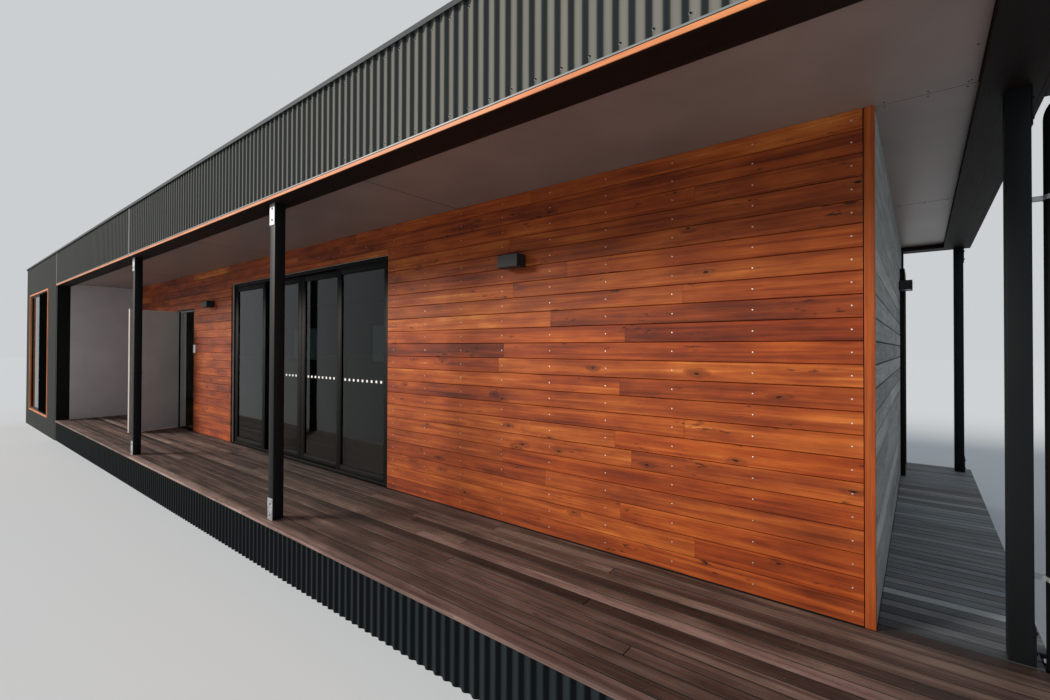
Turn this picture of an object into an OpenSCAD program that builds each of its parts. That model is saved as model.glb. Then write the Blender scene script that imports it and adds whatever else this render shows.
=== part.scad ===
// Long single-storey beach house with a timber front under a deep verandah roof,
// a steel-clad wing at its left end and a narrow deck round its right side.
// The house is drawn with X along the front to the right, Y to the back and Z up,
// from the right corner of the timber front at deck level. Every node is then
// moved so that the origin lies under the middle of the whole house, on the ground.

/* [Plan] */
// Length of the timber front, from its right corner to the wing
front_l = 13390; // [12400:10:16000]
// Width of the wing, seen from the front
wing_w = 3750; // [3200:10:5200]
// Depth of the house, from the timber front to the rear cladding
house_d = 4900; // [4700:10:6500]
// Depth of the front verandah
verandah_d = 1280; // [1200:10:2200]
// Width of the side deck
side_w = 665; // [600:5:1200]
// Length of the side deck past the rear wall
deck_over = 120; // [60:5:300]

/* [Levels] */
// Height of the deck over the ground
deck_h = 400; // [330:5:900]
// Height of the soffit over the deck
soffit_z = 2760; // [2700:5:3000]
// Drop of the roof beams below the soffit
beam_drop = 50; // [30:1:120]
// Height of the fascia, from the underside of the beams to the top of the cladding
fascia_h = 680; // [560:5:900]

/* [Walls and floor] */
// Thickness of the walls
wall_t = 140; // [120:1:200]
// Thickness of the corrugated cladding, from valley backing to crest
clad_t = 25; // [22:1:34]
// Pitch of the corrugations
rib_pitch = 76.2; // [60:0.2:100]
// Height of the corrugations
rib_h = 16; // [10:1:18]
// Thickness of the floor
floor_t = 200; // [160:5:300]
// Thickness of the ceiling and the soffit sheets
sheet_t = 12; // [9:1:20]

/* [Roof] */
// Width of the roof beams that carry the fascia
beam_w = 193; // [160:1:240]
// Width of the roof beam along the side deck
side_beam_w = 229; // [180:1:280]
// Height of the parapet over the roof at its highest edge
parapet_h = 180; // [120:5:300]
// Fall of the roof towards the rear
roof_fall = 100; // [40:5:160]
// Width that the capping projects past the cladding
cap_over = 18; // [8:1:30]
// Thickness of the capping
cap_t = 12; // [6:1:20]
// Height of the timber batten under the front fascia
batten_h = 25; // [20:1:45]
// Distance of the fascia joint from the right corner of the front
joint_x = 8255; // [8100:5:8400]
// Width of the joint strips in the cladding
joint_w = 24; // [16:1:40]

/* [Deck] */
// Thickness of the deck boards
board_t = 27; // [19:1:40]
// Set-back of the skirt under the deck edge
skirt_in = 14; // [5:1:30]
// Width of a deck joist
joist_w = 50; // [40:1:75]
// Spacing of the deck joists
joist_gap = 1340; // [900:10:1800]
// Side of a square stump under the house
stump_w = 100; // [75:5:150]
// Spacing of the stumps along the house
stump_gap = 2850; // [2400:10:3400]

/* [Posts] */
// Side of a square verandah post
post_w = 90; // [75:1:120]
// Set-back of the posts from the deck edge
post_in = 70; // [60:1:110]
// Distance of the first front post from the right corner of the front
post_x = 4165; // [4000:5:4300]
// Spacing of the front posts
post_gap = 4120; // [4000:5:4200]
// Distance of the near side post behind the front wall plane
side_post_y = 145; // [100:5:400]
// Distance of the far side post in front of the rear wall plane
rear_post_in = 85; // [60:5:200]
// Length of the bolted plates on the posts
plate_l = 185; // [140:5:240]
// Thickness of the bolted plates
plate_t = 6; // [4:1:10]

/* [Sliding door] */
// Distance of the door opening from the right corner of the front
slider_x = 4200; // [4100:5:4300]
// Width of the door opening
slider_w = 4010; // [3800:5:4050]
// Height of the door opening
slider_h = 2460; // [2200:5:2600]
// Width of the outer frame round the door
slider_jamb = 40; // [30:1:60]
// Height of the sill track
sill_h = 20; // [15:1:30]
// Depth of the outer frame
slider_d = 100; // [98:1:112]
// Thickness of a door panel
panel_t = 40; // [34:1:42]
// Width of a panel stile
stile_w = 85; // [60:1:100]
// Height of the top rail of a panel
rail_top = 65; // [50:1:110]
// Height of the bottom rail of a panel
rail_foot = 60; // [50:1:140]
// Thickness of the glass in doors and windows
glass_t = 8; // [6:1:12]
// Running gap round the sliding panels
run_gap = 6; // [5:0.5:8]
// Width of the rail that the sliding panels run on
track_w = 8; // [5:1:12]

/* [Entry door] */
// Distance of the entry opening from the right corner of the front
entry_x = 9790; // [9700:5:9900]
// Width of the entry opening in the wall
entry_w = 860; // [800:5:1000]
// Height of the entry opening in the wall
entry_h = 2160; // [2050:5:2300]
// Thickness of the door lining
lining_t = 25; // [19:1:32]
// Thickness of the door leaf
leaf_t = 40; // [35:1:45]
// Gap round the door leaf
leaf_gap = 5; // [5:0.5:8]
// Angle that the door leaf stands open
leaf_open = 76; // [0:1:90]
// Outside diameter of a hinge knuckle
knuckle_d = 12; // [10:1:16]
// Diameter of a hinge pin
pin_d = 6; // [5:0.5:8]
// Height of a hinge
hinge_h = 100; // [80:5:125]
// Width of a hinge flap on the leaf
flap_w = 40; // [30:1:60]

// Distance of the handle from the free edge of the leaf
handle_in = 60; // [45:1:90]
// Height of the handle over the deck
handle_z = 1030; // [900:5:1150]
// Diameter of the handle's spindle and lever
handle_d = 20; // [14:1:26]
// Projection of the handle from the leaf
handle_out = 55; // [40:1:70]
// Length of the lever
handle_l = 110; // [80:1:140]

/* [Windows] */
// Width of the tall window in the front of the wing
tall_w = 2330; // [1800:5:2500]
// Distance of the tall window from the verandah end of the wing
tall_x = 890; // [700:5:1000]
// Height of the tall window
tall_h = 2700; // [2300:5:2700]
// Width of the window frames
frame_w = 45; // [35:1:60]
// Depth of the window frames
frame_d = 80; // [60:1:110]
// Width of the side window
side_win_w = 640; // [500:5:640]
// Height of the side window
side_win_h = 2420; // [2100:5:2500]
// Distance that the side window frame projects from the wall
side_win_out = 45; // [20:1:60]
// Width of a rear window
rear_win_w = 1800; // [1200:10:2200]
// Height of a rear window
rear_win_h = 1100; // [700:10:1300]
// Height of the rear window sills
rear_sill_z = 1050; // [800:10:1300]

/* [Fittings] */
// Width of a wall light
light_w = 210; // [150:5:260]
// Height of a wall light
light_h = 115; // [80:5:150]
// Projection of a wall light
light_out = 120; // [80:5:150]
// Height of the wall lights over the deck
light_z = 2130; // [1900:5:2250]
// Outside diameter of the downpipe
pipe_d = 90; // [75:1:100]
// Height that the bend in the downpipe takes up under the rainwater head
offset_drop = 165; // [160:5:260]
// Gap between the side post and the downpipe
pipe_gap = 42; // [30:1:60]
// Projection of the rainwater head
head_out = 200; // [180:5:260]

/* [Hidden] */

// Reach of every cut past the solid that it cuts
cut = 10;
// Clearance between a moving piece and what carries it
seat = 0.3;

// Edges of the plan
wing_x = -front_l;
end_x = -front_l - wing_w;
front_y = -verandah_d;
roof_x = side_w;
deck_back_y = house_d + deck_over;
high_x = side_w + head_out;
low_x = end_x - cap_over;
low_y = front_y - cap_over;

// Levels
beam_z = soffit_z - beam_drop;
clad_top = beam_z + fascia_h;
skirt_back_x = side_w - skirt_in - clad_t;
skirt_back_y = front_y + skirt_in + clad_t;
skirt_end_y = deck_back_y - skirt_in - clad_t;
frame_x = end_x + clad_t;
frame_front_y = front_y + clad_t;
frame_back_y = house_d - clad_t;
frame_side_x = roof_x - clad_t;
beam_in_front_y = frame_front_y + beam_w;
beam_in_back_y = frame_back_y - beam_w;
beam_in_side_x = frame_side_x - side_beam_w;
beam_in_end_x = frame_x + beam_w;
roof_high_z = clad_top - parapet_h;

// Side wall openings
side_win_y = house_d - clad_t - wall_t - side_win_w;
rear_win_x = [-2900, -7300, -11650, -16100];

// Sliding door panels: two fixed outside, two sliding inside
door_left = -slider_x - slider_w;
door_right = -slider_x;
frame_y = wall_t - slider_d;
clear_w = slider_w - 2 * slider_jamb;
panel_w = (clear_w + 2 * stile_w - run_gap) / 4;
panel_z = sill_h + run_gap;
panel_h = slider_h - slider_jamb - sill_h - 2 * run_gap;
fixed_y = frame_y + (slider_d - 2 * panel_t - run_gap) / 2;
slide_y = fixed_y + panel_t + run_gap;
door_mid = (door_left + door_right) / 2;

// Entry door
entry_left = -entry_x - entry_w;
leaf_w = entry_w - 2 * lining_t - 2 * leaf_gap;
leaf_z = 12;
leaf_h = entry_h - lining_t - leaf_gap - leaf_z;
leaf_y = leaf_gap;
leaf_x = entry_left + lining_t + leaf_gap;
pin_in = 2;
pin_x = leaf_x - pin_in;
pin_y = -knuckle_d / 2;
flap_t = 4;
hinge_end = 150;
hinge_z = [leaf_z + hinge_end, leaf_z + leaf_h / 2 - hinge_h / 2, leaf_z + leaf_h - hinge_end - hinge_h];

// Fittings on the walls
light_x = [2550, 9090];
side_light_gap = 180;
intercom_w = 90;
intercom_h = 140;
intercom_d = 22;
intercom_z = 1380;
intercom_gap = 25;

// Downpipe beside the near side post
pipe_r = pipe_d / 2;
side_post_x = side_w - post_in - post_w;
pipe_x = side_post_x + post_w + pipe_gap + pipe_r;
pipe_y = side_post_y;
pipe_head_x = side_w + pipe_gap + pipe_r;
pipe_sides = 24;
notch_r = pipe_r + 8;
head_w = 300;
head_h = 260;
head_wall = 6;
clamp_z = [400, 2170];
clamp_h = 22;
clamp_t = 4;
head_z = beam_z;

module at_base() {
    translate([-(low_x + high_x) / 2, -(low_y + deck_back_y) / 2, deck_h]) children();
}

module block(lo, hi) {
    translate(lo) cube(hi - lo);
}

// One valley and one crest of the corrugations after another, as flats joined by slopes
function rib_points(length, count) = [
    for (i = [0 : count - 1], p = [[0, rib_h], [0.25, rib_h], [0.5, 0], [0.75, 0]])
        [(i + p[0]) * length / count, p[1]]
];

// Corrugated sheet on its backing, standing on X from the origin, with its crests towards -Y
module corrugated(length, height) {
    count = max(2, round(length / rib_pitch));
    linear_extrude(height)
        polygon(concat([[0, clad_t]], rib_points(length, count), [[length, rib_h], [length, clad_t]]));
}

module ribbed_front(x0, x1, z0, z1, y = front_y) {
    translate([x0, y, z0]) corrugated(x1 - x0, z1 - z0);
}

module ribbed_side(y0, y1, z0, z1, x = roof_x) {
    translate([x, y0, z0]) rotate([0, 0, 90]) corrugated(y1 - y0, z1 - z0);
}

module ribbed_back(x0, x1, z0, z1) {
    translate([x1, house_d, z0]) rotate([0, 0, 180]) corrugated(x1 - x0, z1 - z0);
}

module ribbed_end(y0, y1, z0, z1) {
    translate([end_x, y1, z0]) rotate([0, 0, -90]) corrugated(y1 - y0, z1 - z0);
}

// Ring of four bars in the plane of a wall that faces -Y
module frame_ring(x0, x1, z0, z1, y0, y1, sides, top, foot) {
    difference() {
        block([x0, y0, z0], [x1, y1, z1]);
        block([x0 + sides, y0 - cut, z0 + foot], [x1 - sides, y1 + cut, z1 - top]);
    }
}

// Base

module stump(x, y) {
    translate([x, y - stump_w / 2, -deck_h]) cube([stump_w, stump_w, deck_h - floor_t]);
}

module stumps() {
    color("dimgray") at_base() {
        rows = [front_y + post_in + post_w / 2, stump_w, house_d / 2, house_d - 2 * stump_w];
        count = floor((front_l + wing_w - 2 * stump_w) / stump_gap);
        for (i = [0 : count], y = rows) stump(-stump_w * 1.5 - i * stump_gap, y);
        for (y = [rows[1], rows[2], rows[3]]) stump(skirt_back_x - stump_w, y);
    }
}

module floor_plan() {
    polygon([
        [wing_x, 0], [0, 0], [0, frame_back_y], [frame_x, frame_back_y],
        [frame_x, frame_front_y], [wing_x, frame_front_y]
    ]);
}

module floor() {
    color("burlywood") at_base() translate([0, 0, -floor_t]) linear_extrude(floor_t) floor_plan();
}

module deck_frame() {
    top = -board_t;
    color("slategray") at_base() {
        block([wing_x, skirt_back_y, -floor_t], [skirt_back_x, skirt_back_y + joist_w, top]);
        block([skirt_back_x - joist_w, skirt_back_y, -floor_t], [skirt_back_x, skirt_end_y, top]);
        block([0, skirt_end_y - joist_w, -floor_t], [skirt_back_x, skirt_end_y, top]);
        for (x = [wing_x : joist_gap : -joist_gap / 2])
            block([x, skirt_back_y, -floor_t], [x + joist_w, 0, top]);
        for (y = [0 : joist_gap : skirt_end_y - joist_gap / 2])
            block([0, y - joist_w, -floor_t], [skirt_back_x, y, top]);
    }
}

// Gap that the downpipe passes through at the deck edge, open to the side
module pipe_notch(x) {
    block([x, pipe_y - notch_r, -deck_h - cut], [side_w + cut, pipe_y + notch_r, cut]);
}

module front_deck() {
    color("rosybrown") at_base() block([wing_x, front_y, -board_t], [side_w, 0, 0]);
}

module side_deck() {
    color("gray") at_base() difference() {
        block([0, 0, -board_t], [side_w, deck_back_y, 0]);
        pipe_notch(pipe_x - notch_r);
    }
}

module front_skirt() {
    color("darkslategray") at_base()
        ribbed_front(wing_x, skirt_back_x, -deck_h, -board_t, front_y + skirt_in);
}

module side_skirt() {
    color("darkslategray") at_base() difference() {
        union() {
            ribbed_side(front_y + skirt_in, deck_back_y - skirt_in, -deck_h, -board_t, side_w - skirt_in);
            block([0, skirt_end_y, -deck_h], [skirt_back_x, deck_back_y - skirt_in, -board_t]);
        }
        pipe_notch(skirt_back_x);
    }
}

// Walls

module front_wall_piece(x0, x1, z0, z1) {
    block([x0, 0, z0], [x1, wall_t, z1]);
}

module right_front_wall() {
    color("sienna") at_base() front_wall_piece(door_right, 0, 0, soffit_z);
}

module middle_front_wall() {
    color("sienna") at_base() front_wall_piece(-entry_x, door_left, 0, soffit_z);
}

module left_front_wall() {
    color("sienna") at_base() front_wall_piece(wing_x, entry_left, 0, soffit_z);
}

// Walls over the entry, over the sliding door and over the side window
module head_walls() {
    color("sienna") at_base() {
        front_wall_piece(entry_left, -entry_x, entry_h, soffit_z);
        front_wall_piece(door_left, door_right, slider_h, soffit_z);
        difference() {
            block([-wall_t, side_win_y, side_win_h], [0, frame_back_y - wall_t, soffit_z]);
            block([-wall_t - cut, beam_in_back_y, beam_z], [cut, house_d, soffit_z + cut]);
        }
    }
}

module side_wall() {
    color("gray") at_base() block([-wall_t, wall_t, 0], [0, side_win_y, soffit_z]);
}

module rear_openings(y0, y1) {
    for (x = rear_win_x)
        block([x, y0, rear_sill_z], [x + rear_win_w, y1, rear_sill_z + rear_win_h]);
}

module rear_wall() {
    color("darkslategray") at_base() difference() {
        block([frame_x, frame_back_y - wall_t, 0], [0, frame_back_y, beam_z]);
        rear_openings(0, house_d + cut);
    }
}

module end_wall() {
    color("darkslategray") at_base()
        block([frame_x, frame_front_y + wall_t, 0], [frame_x + wall_t, frame_back_y - wall_t, beam_z]);
}

module tall_opening(y0, y1) {
    block([wing_x - tall_x - tall_w, y0, 0], [wing_x - tall_x, y1, tall_h]);
}

module wing_front_wall() {
    color("darkslategray") at_base() difference() {
        block([frame_x, frame_front_y, 0], [wing_x - wall_t, frame_front_y + wall_t, beam_z]);
        tall_opening(frame_front_y - cut, frame_front_y + wall_t + cut);
    }
}

module wing_side_wall() {
    color("white") at_base() block([wing_x - wall_t, beam_in_front_y, 0], [wing_x, wall_t, soffit_z]);
}

module wing_nib() {
    color("black") at_base() block([wing_x - wall_t, frame_front_y, 0], [wing_x, beam_in_front_y, beam_z]);
}

// Roof

module front_beam() {
    color("saddlebrown") at_base()
        block([frame_x, frame_front_y, beam_z], [beam_in_side_x, beam_in_front_y, clad_top]);
}

module side_beam() {
    color("saddlebrown") at_base()
        block([beam_in_side_x, frame_front_y, beam_z], [frame_side_x, frame_back_y, clad_top]);
}

module rear_beam() {
    color("saddlebrown") at_base()
        block([frame_x, beam_in_back_y, beam_z], [beam_in_side_x, frame_back_y, clad_top]);
}

module end_beam() {
    color("saddlebrown") at_base()
        block([frame_x, beam_in_front_y, beam_z], [beam_in_end_x, beam_in_back_y, clad_top]);
}

module roof() {
    depth = beam_in_back_y - beam_in_front_y;
    low = soffit_z + sheet_t;
    color("lightslategray") at_base()
        translate([beam_in_end_x, beam_in_front_y, 0]) rotate([90, 0, 90])
            linear_extrude(beam_in_side_x - beam_in_end_x)
                polygon([[0, low], [depth, low], [depth, roof_high_z - roof_fall], [0, roof_high_z]]);
}

module ceiling() {
    color("white") at_base() translate([0, 0, soffit_z]) linear_extrude(sheet_t) polygon([
        [wing_x - wall_t, wall_t], [0, wall_t], [0, beam_in_back_y], [beam_in_end_x, beam_in_back_y],
        [beam_in_end_x, beam_in_front_y], [wing_x - wall_t, beam_in_front_y]
    ]);
}

module front_soffit() {
    color("lightgray") at_base()
        block([wing_x - wall_t, beam_in_front_y, soffit_z], [beam_in_side_x, wall_t, soffit_z + sheet_t]);
}

module side_soffit() {
    color("lightgray") at_base()
        block([0, wall_t, soffit_z], [beam_in_side_x, beam_in_back_y, soffit_z + sheet_t]);
}

// Cladding

module front_fascia() {
    low = beam_z + batten_h;
    color("darkslategray") at_base() {
        ribbed_front(wing_x + joint_w, -joint_x, low, clad_top);
        ribbed_front(-joint_x + joint_w, frame_side_x, low, clad_top);
    }
}

module side_fascia() {
    low = beam_z + batten_h;
    color("darkslategray") at_base() {
        ribbed_side(front_y, house_d, low, clad_top);
        ribbed_back(0, frame_side_x, low, clad_top);
    }
}

module wing_cladding() {
    color("darkslategray") at_base() difference() {
        ribbed_front(end_x, wing_x, -deck_h, clad_top);
        tall_opening(front_y - cut, frame_front_y + cut);
    }
}

module end_cladding() {
    color("darkslategray") at_base() ribbed_end(frame_front_y, frame_back_y, -deck_h, clad_top);
}

module rear_cladding() {
    color("darkslategray") at_base() difference() {
        ribbed_back(end_x, 0, -deck_h, clad_top);
        rear_openings(frame_back_y - cut, house_d + cut);
    }
}

module fascia_batten() {
    color("peru") at_base() {
        block([wing_x + joint_w, front_y, beam_z], [frame_side_x, frame_front_y, beam_z + batten_h]);
        block([frame_side_x, front_y, beam_z], [roof_x, house_d, beam_z + batten_h]);
        block([0, frame_back_y, beam_z], [frame_side_x, house_d, beam_z + batten_h]);
    }
}

module joint_strips() {
    color("black") at_base() {
        block([wing_x, front_y, beam_z], [wing_x + joint_w, frame_front_y, clad_top]);
        block([-joint_x, front_y, beam_z + batten_h], [-joint_x + joint_w, frame_front_y, clad_top]);
    }
}

module capping() {
    color("slategray") at_base() difference() {
        block([low_x, low_y, clad_top], [roof_x + cap_over, house_d + cap_over, clad_top + cap_t]);
        block([beam_in_end_x + cap_over, beam_in_front_y + cap_over, clad_top - cut],
              [beam_in_side_x - cap_over, beam_in_back_y - cap_over, clad_top + cap_t + cut]);
    }
}

// Posts

module post(x, y) {
    block([x - post_w / 2, y - post_w / 2, 0], [x + post_w / 2, y + post_w / 2, beam_z]);
}

module posts() {
    front = front_y + post_in + post_w / 2;
    side = side_w - post_in - post_w / 2;
    color("black") at_base() {
        for (i = [0, 1]) post(-post_x - i * post_gap, front);
        post(side, side_post_y);
        post(side, house_d - rear_post_in);
    }
}

module post_plates() {
    y = front_y + post_in - plate_t;
    x = side_w - post_in;
    color("silver") at_base() {
        for (i = [0, 1], z = [0, beam_z - plate_l])
            block([-post_x - i * post_gap - post_w / 2, y, z],
                  [-post_x - i * post_gap + post_w / 2, y + plate_t, z + plate_l]);
        for (py = [side_post_y, house_d - rear_post_in], z = [0, beam_z - plate_l])
            block([x, py - post_w / 2, z], [x + plate_t, py + post_w / 2, z + plate_l]);
    }
}

// Sliding door

module slider_frame() {
    middle = slide_y + panel_t / 2;
    color("black") at_base() {
        frame_ring(door_left, door_right, 0, slider_h, frame_y, wall_t, slider_jamb, slider_jamb, sill_h);
        block([door_left + slider_jamb, middle - track_w / 2, sill_h],
              [door_right - slider_jamb, middle + track_w / 2, panel_z - seat]);
    }
}

module panel_ring(x, y) {
    frame_ring(x, x + panel_w, panel_z, panel_z + panel_h, y, y + panel_t, stile_w, rail_top, rail_foot);
}

module panel_glass(x, y) {
    middle = y + (panel_t - glass_t) / 2;
    block([x + stile_w, middle, panel_z + rail_foot],
          [x + panel_w - stile_w, middle + glass_t, panel_z + panel_h - rail_top]);
}

fixed_left_x = door_left + slider_jamb;
fixed_right_x = door_right - slider_jamb - panel_w;
slide_left_x = door_mid - run_gap / 2 - panel_w;
slide_right_x = door_mid + run_gap / 2;

module fixed_panels() {
    color("black") at_base() {
        for (x = [fixed_left_x, fixed_right_x])
            frame_ring(x, x + panel_w, sill_h, slider_h - slider_jamb, fixed_y, fixed_y + panel_t,
                       stile_w, rail_top + run_gap, rail_foot + run_gap);
    }
}

module fixed_glass() {
    color("lightblue") at_base() for (x = [fixed_left_x, fixed_right_x]) panel_glass(x, fixed_y);
}

module left_panel() {
    color("black") at_base() panel_ring(slide_left_x, slide_y);
}

module left_glass() {
    color("lightblue") at_base() panel_glass(slide_left_x, slide_y);
}

module right_panel() {
    color("black") at_base() panel_ring(slide_right_x, slide_y);
}

module right_glass() {
    color("lightblue") at_base() panel_glass(slide_right_x, slide_y);
}

// Entry door

module entry_lining() {
    color("white") at_base() difference() {
        block([entry_left, 0, 0], [-entry_x, wall_t, entry_h]);
        block([entry_left + lining_t, -cut, -cut], [-entry_x - lining_t, wall_t + cut, entry_h - lining_t]);
    }
}

// Lower half of each hinge, fixed to the lining, with the pin that carries the leaf
module hinge_pins() {
    color("silver") at_base() for (z = hinge_z) {
        block([entry_left + flap_t, -flap_t, z], [pin_x, 0, z + hinge_h / 2 - seat]);
        translate([pin_x, pin_y, z]) cylinder(d = knuckle_d, h = hinge_h / 2 - seat, $fn = 32);
        translate([pin_x, pin_y, z]) cylinder(d = pin_d, h = hinge_h - 2, $fn = 32);
    }
}

// Upper half of each hinge, with its flap on the face of the leaf
module leaf_hinges() {
    color("silver") leaf_swing() for (z = hinge_z) translate([0, 0, z + hinge_h / 2]) difference() {
        union() {
            block([pin_x, -flap_t, 0], [leaf_x + flap_w, leaf_y, hinge_h / 2]);
            translate([pin_x, pin_y, 0]) cylinder(d = knuckle_d, h = hinge_h / 2, $fn = 32);
        }
        translate([pin_x, pin_y, -cut]) cylinder(d = pin_d + 2 * seat, h = hinge_h, $fn = 32);
    }
}

// Turns what is drawn on the closed leaf to where the leaf stands
module leaf_swing() {
    at_base() translate([pin_x, pin_y, 0]) rotate([0, 0, -leaf_open])
        translate([-pin_x, -pin_y, 0]) children();
}

module entry_leaf() {
    color("whitesmoke") leaf_swing()
        block([leaf_x, leaf_y, leaf_z], [leaf_x + leaf_w, leaf_y + leaf_t, leaf_z + leaf_h]);
}

// Lever handle on each face of the leaf
module entry_handle() {
    x = leaf_x + leaf_w - handle_in;
    color("silver") leaf_swing() for (turn = [0, 1])
        translate([x, leaf_y + leaf_t / 2, handle_z]) mirror([0, turn, 0]) translate([0, leaf_t / 2, 0]) {
            rotate([-90, 0, 0]) cylinder(d = handle_d, h = handle_out, $fn = 32);
            translate([-handle_l, handle_out - handle_d, -handle_d / 2])
                cube([handle_l, handle_d, handle_d]);
        }
}

// Windows

module tall_window() {
    x0 = wing_x - tall_x - tall_w;
    x1 = wing_x - tall_x;
    middle = (x0 + x1) / 2;
    color("black") at_base() {
        frame_ring(x0, x1, 0, tall_h, front_y, front_y + frame_d, frame_w, frame_w, frame_w);
        block([middle - frame_w / 2, front_y, frame_w],
              [middle + frame_w / 2, front_y + frame_d, tall_h - frame_w]);
    }
}

module side_window() {
    color("black") at_base() difference() {
        block([-frame_d, side_win_y, 0], [side_win_out, frame_back_y - wall_t, side_win_h]);
        block([-frame_d - cut, side_win_y + frame_w, frame_w],
              [side_win_out + cut, frame_back_y - wall_t - frame_w, side_win_h - frame_w]);
    }
}

module rear_windows() {
    color("black") at_base() for (x = rear_win_x)
        frame_ring(x, x + rear_win_w, rear_sill_z, rear_sill_z + rear_win_h, house_d - frame_d, house_d,
                   frame_w, frame_w, frame_w);
}

// The panes of every window
module window_glass() {
    tall_x0 = wing_x - tall_x - tall_w;
    tall_mid = tall_x0 + tall_w / 2;
    tall_y = front_y + frame_d / 2;
    rear_y = house_d - frame_d / 2;
    color("lightblue") at_base() {
        block([tall_x0 + frame_w, tall_y, frame_w],
              [tall_mid - frame_w / 2, tall_y + glass_t, tall_h - frame_w]);
        block([tall_mid + frame_w / 2, tall_y, frame_w],
              [tall_x0 + tall_w - frame_w, tall_y + glass_t, tall_h - frame_w]);
        block([-frame_d / 2, side_win_y + frame_w, frame_w],
              [-frame_d / 2 + glass_t, frame_back_y - wall_t - frame_w, side_win_h - frame_w]);
        for (x = rear_win_x)
            block([x + frame_w, rear_y, rear_sill_z + frame_w],
                  [x + rear_win_w - frame_w, rear_y + glass_t, rear_sill_z + rear_win_h - frame_w]);
    }
}

// Fittings

module wall_lights() {
    color("dimgray") at_base() {
        for (x = light_x)
            block([-x, -light_out, light_z], [light_w - x, 0, light_z + light_h]);
        block([0, side_win_y - side_light_gap - light_w, light_z],
              [light_out, side_win_y - side_light_gap, light_z + light_h]);
    }
}

module intercom() {
    x = -entry_x + intercom_gap;
    color("white") at_base()
        block([x, -intercom_d, intercom_z], [x + intercom_w, 0, intercom_z + intercom_h]);
}

// Point of the pipe's wall at an angle round it, in the mitre plane that is tilted from level towards +X
function pipe_point(p, tilt, spread, angle) = [
    p[0] + pipe_r * spread * cos(angle) * cos(tilt),
    pipe_y + pipe_r * sin(angle),
    p[1] - pipe_r * spread * cos(angle) * sin(tilt)
];

// Downpipe that steps outwards past the roof edge in a mitred bend
module downpipe() {
    low = head_z - offset_drop;
    side = (pipe_head_x - pipe_x) / (sin(45) + 2 * sin(22.5));
    path = [
        [pipe_x, -deck_h], [pipe_x, low],
        [pipe_x + side * sin(22.5), low + side * cos(22.5)],
        [pipe_head_x - side * sin(22.5), low + side * (cos(22.5) + cos(45))],
        [pipe_head_x, low + side * (2 * cos(22.5) + cos(45))],
        [pipe_head_x, head_z]
    ];
    tilts = [0, 11.25, 33.75, 33.75, 11.25, 0];
    last = len(path) - 1;
    n = pipe_sides;
    color("black") at_base() polyhedron(
        points = [for (i = [0 : last], k = [0 : n - 1])
            pipe_point(path[i], tilts[i], i == 0 || i == last ? 1 : 1 / cos(11.25), 360 * k / n)],
        faces = concat(
            [[for (k = [0 : n - 1]) k]],
            [for (i = [0 : last - 1], k = [0 : n - 1])
                [i * n + k, (i + 1) * n + k, (i + 1) * n + (k + 1) % n]],
            [for (i = [0 : last - 1], k = [0 : n - 1])
                [i * n + k, (i + 1) * n + (k + 1) % n, i * n + (k + 1) % n]],
            [[for (k = [n - 1 : -1 : 0]) last * n + k]]
        )
    );
}

module rainwater_head() {
    color("black") at_base() difference() {
        block([roof_x, pipe_y - head_w / 2, head_z],
              [roof_x + head_out, pipe_y + head_w / 2, head_z + head_h]);
        block([roof_x + head_wall, pipe_y - head_w / 2 + head_wall, head_z + head_wall],
              [high_x - head_wall, pipe_y + head_w / 2 - head_wall, head_z + head_h + cut]);
    }
}

module pipe_clamps() {
    color("gainsboro") at_base() for (z = clamp_z) difference() {
        union() {
            translate([pipe_x, pipe_y, z]) cylinder(r = pipe_r + clamp_t, h = clamp_h, $fn = 48);
            block([side_post_x + post_w, pipe_y - clamp_h / 2, z],
                  [pipe_x, pipe_y + clamp_h / 2, z + clamp_h]);
        }
        translate([pipe_x, pipe_y, z - cut]) cylinder(r = pipe_r, h = clamp_h + 2 * cut, $fn = 48);
    }
}

stumps();
floor();
deck_frame();
front_deck();
side_deck();
front_skirt();
side_skirt();
right_front_wall();
middle_front_wall();
left_front_wall();
head_walls();
side_wall();
rear_wall();
end_wall();
wing_front_wall();
wing_side_wall();
wing_nib();
front_beam();
side_beam();
rear_beam();
end_beam();
roof();
ceiling();
front_soffit();
side_soffit();
front_fascia();
side_fascia();
wing_cladding();
end_cladding();
rear_cladding();
fascia_batten();
joint_strips();
capping();
posts();
post_plates();
slider_frame();
fixed_panels();
fixed_glass();
left_panel();
left_glass();
right_panel();
right_glass();
entry_lining();
hinge_pins();
entry_leaf();
leaf_hinges();
entry_handle();
tall_window();
side_window();
rear_windows();
window_glass();
wall_lights();
intercom();
downpipe();
rainwater_head();
pipe_clamps();
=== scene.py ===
"""Looks of a long single-storey beach house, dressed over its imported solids.

Lengths are in metres. The house is drawn from the right corner of the timber
front at deck level (X along the front, Y to the back, Z up), and every finished
piece is moved to the row frame by HOUSE when it is settled.
"""

import logging
import math
import random
from dataclasses import dataclass
from enum import Enum
from functools import partial
from typing import Callable, Iterable, Sequence

import bpy
from mathutils import Matrix, Vector


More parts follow.
